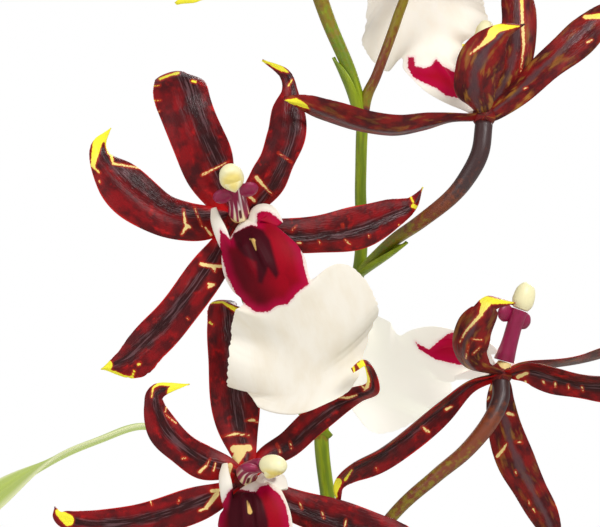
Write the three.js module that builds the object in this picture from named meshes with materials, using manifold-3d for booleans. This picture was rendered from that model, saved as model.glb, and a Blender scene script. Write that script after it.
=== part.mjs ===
// A potted odontonia orchid in flower: a clay pot of bark, four pseudobulbs on a creeping rhizome, strap
// leaves, and one tall spray of star-shaped maroon blooms with broad white lips.
//
// Lengths are millimetres. Everything is laid out as it is seen from the front, in three directions: right,
// up and out towards the viewer, from the centre of the pot's base. The exported group is turned so that up
// is +Z.

import * as THREE from "three";
import { mergeVertices } from "three/addons/utils/BufferGeometryUtils.js";
import Module from "manifold-3d";

const wasm = await Module();
wasm.setup();

// Driving dimensions

const GAP = 0.3; // clear space between pieces that touch

const POT = {
  height: 105,
  base: 41, // outer radius at the foot
  shoulder: 54, // outer radius below the rim band
  rim: 60,
  rimDepth: 24,
  wall: 5,
  floor: 6,
  drain: 4,
  drainRing: 24,
};
const BARK = { top: 90, chips: 21, chip: [18, 6, 13], tilt: 0.35 };
const RHIZOME = { up: 88, radius: 4.2 }; // it creeps along the top of the bark, half sunk in it
const BULB_FOOT = RHIZOME.up + 2;

const LEAF_THICK = 1.2;
const TEPAL_THICK = 0.9;
const LIP_THICK = 0.8;
const RECEPTACLE = { radius: 2.6, back: 0.3 }; // the knob behind a bloom, where all its parts meet

// Facets: how many sides or columns go round or across a piece, and how many rows along it
const ROUND = 24; // of the pot and of the bark in it
const BULB_FACETS = [10, 8];
const RHIZOME_FACETS = [8, 10];
const ROOT_FACETS = [5, 7];
const STEM_FACETS = [8, 36];
const STEM_HOLE_FACETS = [8, 6];
const STALK_FACETS = [6, 8];
const BUD_STALK_FACETS = [6, 4];
const COLUMN_FACETS = [8, 6];
const CAP_FACETS = [8, 4];
const BUD_FACETS = [8, 6];
const BALL_FACETS = [8, 5];
const WING_FACETS = [6, 4];
const LEAF_GRID = [4, 10];
const BRACT_GRID = [4, 4];
const TEPAL_GRID = [4, 8];
const LIP_GRID = [8, 10];

// Materials

function material(color, roughness) {
  return new THREE.MeshStandardMaterial({ color, roughness, metalness: 0 });
}

const CLAY = material(0xb8694a, 0.85);
const BARK_BROWN = material(0x5a3a26, 0.95);
const BULB_GREEN = material(0x7f9a3c, 0.5);
const LEAF_GREEN = material(0x6f9a34, 0.45);
const ROOT_GREY = material(0xb9bda4, 0.8);
const STEM_GREEN = material(0x8fa01c, 0.5);
const TEPAL_MAROON = material(0x7a1e22, 0.4);
const LIP_WHITE = material(0xf4ecdb, 0.55);
const COLUMN_MAGENTA = material(0x9a2450, 0.45);
const CAP_CREAM = material(0xfae282, 0.45);
const BUD_MAROON = material(0x6b3326, 0.5);

// Numbers drawn from a fixed seed, so that every build is the same

function seeded(seed) {
  let state = seed;
  return () => {
    state = (state * 1664525 + 1013904223) % 4294967296;
    return state / 4294967296;
  };
}

// Curves: a line through points, and a direction across it that is carried along without twisting

const CURVE_STEPS = 96;
const GOLDEN_ANGLE = 2.39996; // radians
const OFF_BEAT = 1.9; // how far a blade's left margin ruffles out of step with its right one, in radians
const LEAST_HALF_WIDTH = 0.3; // of a blade
const POINTED_BELOW = 0.4; // a blade whose half width ends below this has a pointed tip
const LEAST_RADIUS = 0.2; // of a limb

class Spine {
  constructor(points, face) {
    const line = points.map((point) => new THREE.Vector3(...point));
    this.curve = new THREE.CatmullRomCurve3(line, false, "catmullrom", 0.5);
    this.normals = [];
    let normal = new THREE.Vector3(...face);
    for (let step = 0; step <= CURVE_STEPS; step++) {
      const tangent = this.curve.getTangent(step / CURVE_STEPS);
      normal = normal.clone().addScaledVector(tangent, -normal.dot(tangent)).normalize();
      this.normals.push(normal);
    }
  }

  // The place, and the side and front directions, at share t of the way. Roll turns the front, in degrees.
  at(t, roll = 0) {
    const tangent = this.curve.getTangent(t);
    const normal = this.normals[Math.round(t * CURVE_STEPS)].clone();
    normal.addScaledVector(tangent, -normal.dot(tangent)).normalize();
    normal.applyAxisAngle(tangent, THREE.MathUtils.degToRad(roll));
    const side = new THREE.Vector3().crossVectors(tangent, normal);
    return { place: this.curve.getPoint(t), side, normal, tangent };
  }
}

// A smooth value along a curve, from its values at the curve's points, or one value all along.
function along(values) {
  if (!Array.isArray(values)) return () => values;
  const line = values.map((value) => new THREE.Vector3(value, 0, 0));
  const curve = new THREE.CatmullRomCurve3(line, false, "catmullrom", 0.5);
  return (t) => curve.getPoint(t).x;
}

// Closed surfaces, made of rows of points with the same count

class Faces {
  constructor() {
    this.places = [];
    this.corners = [];
  }

  point(place) {
    this.places.push(place.x, place.y, place.z);
    return this.places.length / 3 - 1;
  }

  triangle(a, b, c) {
    if (a !== b && b !== c && c !== a) this.corners.push(a, b, c);
  }

  geometry() {
    const made = new THREE.BufferGeometry();
    made.setAttribute("position", new THREE.Float32BufferAttribute(this.places, 3));
    made.setIndex(this.corners);
    return made;
  }
}

// A thin blade, such as a petal or a leaf. Its spine's points come with the half width at each. Cup is how
// far each margin bends towards the front in degrees, and sweep is how far it runs ahead of the midrib. Lean
// widens the left half at the cost of the right one, as a share, and slant moves the left margin ahead and
// the right one back. The two faces are split into triangles alike.
function blade(shape, thick, [columns, rows]) {
  const spine = new Spine(shape.spine, shape.face);
  const half = along(shape.half);
  const cup = along(shape.cup ?? 0);
  const roll = along(shape.roll ?? 0);
  const sweep = along(shape.sweep ?? 0);
  const lean = along(shape.lean ?? 0);
  const slant = along(shape.slant ?? 0);
  const wave = along(shape.wave ?? 0);
  const { waves = 3, phase = 0 } = shape;
  const pointed = half(1) < POINTED_BELOW;
  const faces = new Faces();
  const front = [];
  const back = [];
  for (let row = 0; row <= rows; row++) {
    const t = row / rows;
    const { place, side, normal, tangent } = spine.at(t, roll(t));
    front.push([]);
    back.push([]);
    if (pointed && row === rows) {
      const tip = faces.point(place);
      front[row] = Array(columns + 1).fill(tip);
      back[row] = front[row];
      break;
    }
    for (let column = 0; column <= columns; column++) {
      const share = (2 * column) / columns - 1;
      const width = Math.max(half(t), LEAST_HALF_WIDTH) * (1 + lean(t) * Math.sign(share));
      const bend = THREE.MathUtils.degToRad(cup(t)) * share;
      const arc = Math.abs(bend) < 1e-3 ? 1 : Math.sin(bend) / bend;
      const rise = Math.abs(bend) < 1e-3 ? 0 : (1 - Math.cos(bend)) / bend;
      const turn = 2 * Math.PI * waves * t + phase + (share < 0 ? OFF_BEAT : 0);
      const ruffle = wave(t) * Math.abs(share) ** 1.5 * Math.sin(turn);
      const middle = place.clone();
      middle.addScaledVector(side, share * width * arc);
      middle.addScaledVector(normal, share * width * rise + ruffle);
      middle.addScaledVector(tangent, (sweep(t) * share + slant(t)) * share);
      const depth = (thick / 2) * Math.sqrt(1 - share * share);
      if (depth === 0) {
        const edge = faces.point(middle);
        front[row].push(edge);
        back[row].push(edge);
      } else {
        const out = normal.clone().multiplyScalar(Math.cos(bend)).addScaledVector(side, -Math.sin(bend));
        front[row].push(faces.point(middle.clone().addScaledVector(out, depth)));
        back[row].push(faces.point(middle.clone().addScaledVector(out, -depth)));
      }
    }
  }
  for (let column = 0; column < columns; column++) {
    for (let row = 0; row < rows; row++) {
      const [f, b, next, nextBack] = [front[row], back[row], front[row + 1], back[row + 1]];
      faces.triangle(f[column], f[column + 1], next[column + 1]);
      faces.triangle(f[column], next[column + 1], next[column]);
      faces.triangle(b[column], nextBack[column + 1], b[column + 1]);
      faces.triangle(b[column], nextBack[column], nextBack[column + 1]);
    }
    faces.triangle(front[0][column], back[0][column], back[0][column + 1]);
    faces.triangle(front[0][column], back[0][column + 1], front[0][column + 1]);
    if (!pointed) {
      faces.triangle(front[rows][column], back[rows][column + 1], back[rows][column]);
      faces.triangle(front[rows][column], front[rows][column + 1], back[rows][column + 1]);
    }
  }
  return faces.geometry();
}

// A solid stem, bulb or bud along a line: an oval at each row, wide across the line and deep towards its
// front.
function limb({ line, wide, deep = wide, face = [0, 0, 1] }, [sides, rows]) {
  const spine = new Spine(line, face);
  const across = along(wide);
  const through = along(deep);
  const faces = new Faces();
  const rings = [];
  for (let row = 0; row <= rows; row++) {
    const t = row / rows;
    const { place, side, normal } = spine.at(t);
    const ring = [];
    for (let corner = 0; corner < sides; corner++) {
      const turn = (2 * Math.PI * corner) / sides;
      const spot = place.clone();
      spot.addScaledVector(side, Math.max(across(t), LEAST_RADIUS) * Math.cos(turn));
      spot.addScaledVector(normal, Math.max(through(t), LEAST_RADIUS) * Math.sin(turn));
      ring.push(faces.point(spot));
    }
    rings.push(ring);
  }
  for (let corner = 0; corner < sides; corner++) {
    const after = (corner + 1) % sides;
    for (let row = 0; row < rows; row++) {
      faces.triangle(rings[row][corner], rings[row + 1][after], rings[row][after]);
      faces.triangle(rings[row][corner], rings[row + 1][corner], rings[row + 1][after]);
    }
    if (corner > 0 && after > 0) {
      faces.triangle(rings[0][0], rings[0][corner], rings[0][after]);
      faces.triangle(rings[rows][0], rings[rows][after], rings[rows][corner]);
    }
  }
  return faces.geometry();
}

// Solids: closed geometry to and from the library that joins and cuts it

function solid(geometry) {
  const bare = geometry.clone();
  bare.deleteAttribute("normal");
  bare.deleteAttribute("uv");
  const merged = mergeVertices(bare, 1e-4);
  const vertProperties = new Float32Array(merged.attributes.position.array);
  const triVerts = new Uint32Array(merged.index.array);
  return new wasm.Manifold(new wasm.Mesh({ numProp: 3, vertProperties, triVerts }));
}

function geometryOf(made) {
  const mesh = made.getMesh();
  const geometry = new THREE.BufferGeometry();
  geometry.setAttribute("position", new THREE.BufferAttribute(new Float32Array(mesh.vertProperties), 3));
  geometry.setIndex(new THREE.BufferAttribute(new Uint32Array(mesh.triVerts), 1));
  geometry.computeVertexNormals();
  return geometry;
}

function joined(solids) {
  return solids.reduce((all, next) => all.add(next));
}

// The largest body of a solid, with any hollow that joining has sealed filled in.
function mainBody(made) {
  return made.decompose().reduce((most, next) => (next.volume() > most.volume() ? next : most));
}

function ball(centre, radius) {
  return solid(new THREE.SphereGeometry(radius, ...BALL_FACETS).translate(...centre));
}

// The pot and what fills it

function clayPot() {
  const { height, base, shoulder, rim, rimDepth, wall, floor } = POT;
  const band = height - rimDepth;
  const profile = [
    [0, 0],
    [base - 1.5, 0],
    [base, 1.5],
    [shoulder, band],
    [rim - 1, band],
    [rim, band + 1.5],
    [rim + 1, height - 2],
    [rim - 0.5, height],
    [rim - wall + 0.5, height],
    [rim - wall - 0.6, height - 2],
    [shoulder - wall, band - 4],
    [base - wall + 1, floor],
    [0, floor],
  ].map(([across, up]) => new THREE.Vector2(across, up));
  const shell = solid(new THREE.LatheGeometry(profile, ROUND));
  const drains = [0, 1, 2, 3].map((quarter) => {
    const turn = ((quarter + 0.5) * Math.PI) / 2;
    const hole = new THREE.CylinderGeometry(POT.drain, POT.drain, floor * 3, 10);
    return solid(hole.translate(POT.drainRing * Math.cos(turn), 0, POT.drainRing * Math.sin(turn)));
  });
  return shell.subtract(joined(drains));
}

// The pot's inner radius at a height above its base, with a gap to the clay.
function innerRadius(up) {
  const { height, base, shoulder, rim, rimDepth, wall, floor } = POT;
  const band = height - rimDepth - 4;
  const low = base - wall + 1;
  const high = shoulder - wall;
  if (up < band) return low + ((high - low) * (up - floor)) / (band - floor) - GAP;
  return high + ((rim - wall - 0.6 - high) * (up - band)) / (height - 2 - band) - GAP;
}

// Coarse bark: a packed bed with tilted chips standing out of its top, and a plain hole for each thing
// planted in it.
function barkBed(planted) {
  const floor = POT.floor + GAP;
  const band = POT.height - POT.rimDepth - 4;
  const profile = [
    [0, floor],
    [innerRadius(floor), floor],
    [innerRadius(band), band],
    [innerRadius(BARK.top - 3), BARK.top - 3],
    [0, BARK.top],
  ].map(([across, up]) => new THREE.Vector2(across, up));
  const bed = solid(new THREE.LatheGeometry(profile, ROUND));
  const draw = seeded(7);
  const chips = [];
  for (let index = 0; index < BARK.chips; index++) {
    const ring = Math.sqrt((index + 0.5) / BARK.chips);
    const turn = index * GOLDEN_ANGLE;
    const size = BARK.chip.map((side) => side * (0.75 + 0.5 * draw()));
    const chip = new THREE.BoxGeometry(...size);
    chip.rotateX((2 * draw() - 1) * BARK.tilt);
    chip.rotateZ((2 * draw() - 1) * BARK.tilt);
    chip.rotateY(draw() * Math.PI);
    const reach = (innerRadius(BARK.top) - Math.hypot(size[0], size[2]) / 2 - 0.5) * ring;
    const up = BARK.top + 0.5 + 2 * draw() - 2.5 * ring;
    chips.push(solid(chip.translate(reach * Math.cos(turn), up, reach * Math.sin(turn))));
  }
  return mainBody(planted.reduce((rest, hole) => rest.subtract(hole), mainBody(joined([bed, ...chips]))));
}

// Pseudobulbs: flattened eggs with a narrow neck, each on the rhizome

const BULBS = {
  oldest: { foot: [-33, BULB_FOOT, -12], top: [-38, 144, -16], wide: 13, deep: 8.5 },
  second: { foot: [-8, BULB_FOOT, -18], top: [-10, 152, -21], wide: 14, deep: 9 },
  lead: { foot: [17, BULB_FOOT, -9], top: [19, 160, -10], wide: 15, deep: 9.5 },
  shoot: { foot: [38, BULB_FOOT, 2], top: [42, 118, 3], wide: 6.5, deep: 5.5 },
};

// The line of a bulb up from its foot, with its half width and half depth, all grown by a spare amount.
function pseudobulb({ foot, top, wide, deep }, spare = 0) {
  const at = (share) => foot.map((from, axis) => from + (top[axis] - from) * share);
  return {
    line: [at(0), at(0.12), at(0.3), at(0.5), at(0.7), at(0.88), at(1)],
    wide: [0.42, 0.82, 1, 0.94, 0.72, 0.42, 0.2].map((share) => share * wide + spare),
    deep: [0.55, 0.86, 1, 0.94, 0.72, 0.46, 0.3].map((share) => share * deep + spare),
  };
}

// Thick pale roots creep from the rhizome over the bark and dive into it.
const RHIZOME_LINE = [
  [-41, RHIZOME.up - 2, -15],
  [-33, RHIZOME.up, -12],
  [-8, RHIZOME.up, -18],
  [17, RHIZOME.up, -9],
  [38, RHIZOME.up, 2],
  [44, RHIZOME.up - 2, 5],
];
const ROOTS = [
  [[-31, 88, -11], [-33, 95, 6], [-32, 96, 20], [-24, 94, 33], [-14, 87, 40]],
  [[-6, 88, -16], [-9, 96, -2], [-5, 96.5, 12], [3, 95.5, 25], [6, 88, 38]],
  [[22, 88, -6], [29, 95, 9], [31, 95.5, 21], [27, 92, 31], [19, 85, 40]],
];
const ROOT_RADIUS = 2;

// The rhizome and its roots, grown by a spare amount.
function rhizome(spare) {
  const stem = limb({ line: RHIZOME_LINE, wide: RHIZOME.radius + spare }, RHIZOME_FACETS);
  const roots = ROOTS.map((line) => limb({ line, wide: ROOT_RADIUS + spare }, ROOT_FACETS));
  return joined([stem, ...roots].map(solid));
}

// Leaves: strap blades, folded along the midrib where they leave the bulb and opening as they arch over

const LEAF_HALF = [3.2, 6, 9.5, 12, 13, 12.5, 10.5, 6.5, 0];
const LEAF_CUP = [75, 60, 40, 28, 22, 18, 15, 12, 10];

const LEAVES = {
  seen_left: {
    spine: [
      [-12.4, 152.6, -21.6], [-8, 210, -42], [-9, 265, -56], [-13, 305, -63], [-19, 331, -65],
      [-26, 349, -65], [-36, 357, -64], [-47, 361.2, -63], [-58, 358, -61.5], [-69.7, 352.8, -60],
      [-84, 343.2, -58], [-104, 326, -54], [-126, 290, -47],
    ],
    face: [1, 0.1, 0],
    roll: [0, 0, 0, 0, 2, 4, 6, 8, 9.5, 9, -14, -30, -40],
    cup: [75, 55, 32, 18, 10, 5, 3, 2, 2, 2, 4, 6, 8],
  },
  back_right: {
    spine: [
      [-7.4, 152.6, -20.6], [9, 205, -40], [30, 255, -62], [60, 290, -80], [97, 305, -94],
      [134, 296, -104], [158, 268, -110],
    ],
    face: [-0.8, 0.1, 0.8],
  },
  front_right: {
    spine: [
      [20.6, 160.6, -7.5], [36, 215, 8], [58, 258, 22], [89, 283, 36], [122, 286, 48],
      [151, 270, 58], [170, 242, 64],
    ],
    face: [-0.9, 0.1, -0.45],
  },
  low_right: {
    spine: [
      [20.2, 160.6, -12.6], [37, 200, -30], [64, 230, -44], [97, 242, -57], [130, 233, -68],
      [154, 208, -76],
    ],
    face: [-0.9, 0.1, 0.5],
  },
  far_left: {
    spine: [
      [-39, 144.6, -18.6], [-53, 190, -14], [-73, 232, -6], [-103, 257, 4], [-134, 258, 12],
      [-161, 238, 18], [-178, 208, 22],
    ],
    face: [1, 0.1, -0.2],
  },
  front_left: {
    spine: [
      [-37.6, 144.6, -13.4], [-43, 182, 12], [-57, 216, 34], [-80, 238, 56], [-107, 241, 76],
      [-132, 222, 92],
    ],
    face: [0.6, 0.1, -0.9],
  },
  sheath_front: {
    spine: [
      [23.4, 93, -2.8], [26.4, 99, -0.4], [30.5, 111, 7], [38, 130, 23], [52, 158, 43], [77, 176, 62],
      [104, 176, 80], [127, 158, 94],
    ],
    face: [-0.6, 0.1, -0.9],
  },
  sheath_back: {
    spine: [
      [-37.9, 93, -19.6], [-40.6, 99.5, -24.8], [-44, 112, -33], [-51, 132, -46], [-67, 164, -62],
      [-93, 184, -82], [-122, 176, -100],
    ],
    face: [0.6, 0.1, 0.9],
  },
  sheath_left: {
    spine: [
      [-12.8, 93, -11.4], [-14.8, 99.5, -8], [-18.4, 112, 0.6], [-26, 134, 18], [-40, 161, 38],
      [-60, 180, 58], [-83, 178, 78], [-101, 160, 96],
    ],
    face: [0.4, 0.1, -1],
  },
  shoot_outer: {
    spine: [
      [46.2, 92, 2.6], [47.9, 100, 3.2], [50.6, 116, 5], [55, 140, 9], [66, 172, 16], [81, 196, 24],
      [99, 208, 31],
    ],
    face: [-1, 0.1, -0.4],
  },
  shoot_inner: {
    spine: [[42, 118.5, 3], [43, 150, 1], [40, 190, -5], [32, 226, -13], [20, 254, -22]],
    face: [1, 0.1, 0.3],
  },
};
const LEAF_SIZE = {
  sheath_front: 0.8,
  sheath_back: 0.8,
  sheath_left: 0.75,
  shoot_outer: 0.62,
  shoot_inner: 0.66,
};

function leaf(name) {
  const scale = LEAF_SIZE[name] ?? 1;
  const { spine } = LEAVES[name];
  const spread = (values) => spine.map((_, index) => along(values)(index / (spine.length - 1)));
  const half = spread(LEAF_HALF).map((value) => value * scale);
  return blade({ half, cup: spread(LEAF_CUP), ...LEAVES[name] }, LEAF_THICK, LEAF_GRID);
}

// The flower spike: one zigzag stem with a stalk and a small clasping bract at each joint

const STEM = [
  [9.5, 84, -1.5],
  [7, 98, 3.5],
  [-3, 150, 12],
  [-9, 210, 9],
  [-8, 265, 3],
  [-5.5, 314, 0],
  [-1.5, 331.5, 0],
  [-3.7, 347.7, 0],
  [-5.1, 364.7, 0],
  [-1.1, 382, 0],
  [3.3, 400.3, 0],
  [3.4, 418, 1.5],
  [4.1, 434, 4.5],
  [7, 441.6, 6.5],
  [11.2, 453.2, 8.5],
  [13.2, 461, 9],
  [11.2, 474, 9],
  [13, 484, 8.5],
  [12, 493, 8],
];
const STEM_RADIUS = [
  3, 2.6, 2.4, 2.2, 1.9, 1.75, 1.7, 1.6, 1.6, 1.4, 1.4, 1.25, 1.3, 1.1, 1.1, 1, 0.9, 0.8, 0.7,
];

const STEM_HOLE_END = [10.75, 77, -4]; // the bottom of the stem's hole in the bark, below its foot

// The lines of the stalks. Each ends behind its bloom or bud, where it widens a little into the ovary.
const STALKS = {
  a: [
    [-5, 363.5, 0], [-11.6, 373.5, 6], [-18.1, 385.6, 12], [-22.4, 397.5, 17], [-23.6, 405, 21.5],
    [-23.2, 409, 26],
  ],
  b: [
    [-5.5, 312, 0], [-13.2, 323.5, 8], [-18.1, 333.9, 14], [-20.6, 345, 18], [-21.4, 351, 20],
    [-21.4, 354, 22],
  ],
  c: [
    [-1.5, 329, 0], [10.7, 345.1, 3], [19.6, 353.4, 5], [26.1, 358.8, 5], [31.2, 364.7, 4], [34, 370, 2],
    [34.3, 374, 0],
  ],
  d: [
    [3.2, 398, 0], [10.1, 404.7, 8], [15.9, 408.9, 15], [22.2, 414, 20], [25.9, 418.6, 22],
    [28.5, 423.8, 22], [29.4, 430, 20.5],
  ],
  e: [
    [4.1, 432, 4.4], [1.1, 441.6, 5.5], [-3.9, 453.4, 6], [-8, 466, 8], [-10.2, 476, 11], [-10.4, 484, 14],
  ],
  f: [
    [13.2, 460, 9], [19, 470, 4], [24.5, 481, -3], [27.6, 490.4, -5.6], [29.6, 497.6, -8.8],
    [32.4, 501.6, -12.6],
  ],
  bud_low: [[11.2, 473, 9], [8, 481, 4], [3.5, 489, -1], [1, 496, -4]],
  bud_mid: [[13, 483, 8.5], [18, 490, 9], [21, 497, 10]],
  bud_top: [[12, 492, 8], [11.5, 498, 7.6], [11.8, 503, 7.6]],
};
const STALK_RADIUS = { bloom: [1.2, 1.45, 1.7, 1.95, 1.9], bud: [0.8, 0.95, 1.1] };

const BRACTS = {
  a: {
    spine: [[-4.4, 361.4, 0], [-9.6, 367, 3.4], [-13.4, 373, 7.4], [-17, 380, 10.6]],
    face: [0.8, 0.5, -0.5],
  },
  d: {
    spine: [[1.8, 396, 0.4], [7.6, 399.6, 6], [13, 403.6, 12], [17, 407.4, 16]],
    face: [-0.5, 0.8, 0.2],
  },
  e: {
    spine: [[2.6, 431, 4.4], [-0.2, 437, 5], [-1.9, 442, 5.4], [-3.6, 447.4, 6]],
    face: [0.9, 0.4, 0],
  },
};
const BRACT = { half: [2.4, 3, 2.2, 0], cup: 75, thick: 0.8 };

function flowerSpike(seats) {
  const parts = [solid(limb({ line: STEM, wide: STEM_RADIUS }, STEM_FACETS))];
  for (const [name, line] of Object.entries(STALKS)) {
    const budding = name.startsWith("bud");
    const wide = budding ? STALK_RADIUS.bud : STALK_RADIUS.bloom;
    parts.push(solid(limb({ line, wide }, budding ? BUD_STALK_FACETS : STALK_FACETS)));
  }
  for (const bract of Object.values(BRACTS)) {
    parts.push(solid(blade({ ...BRACT, ...bract }, BRACT.thick, BRACT_GRID)));
  }
  return seats.reduce((spike, seat) => spike.subtract(seat), joined(parts));
}

// Blooms. Each is described from its own centre, the receptacle, in the viewer's right, up and out. A tepal
// is one of the three sepals and two petals.

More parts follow.
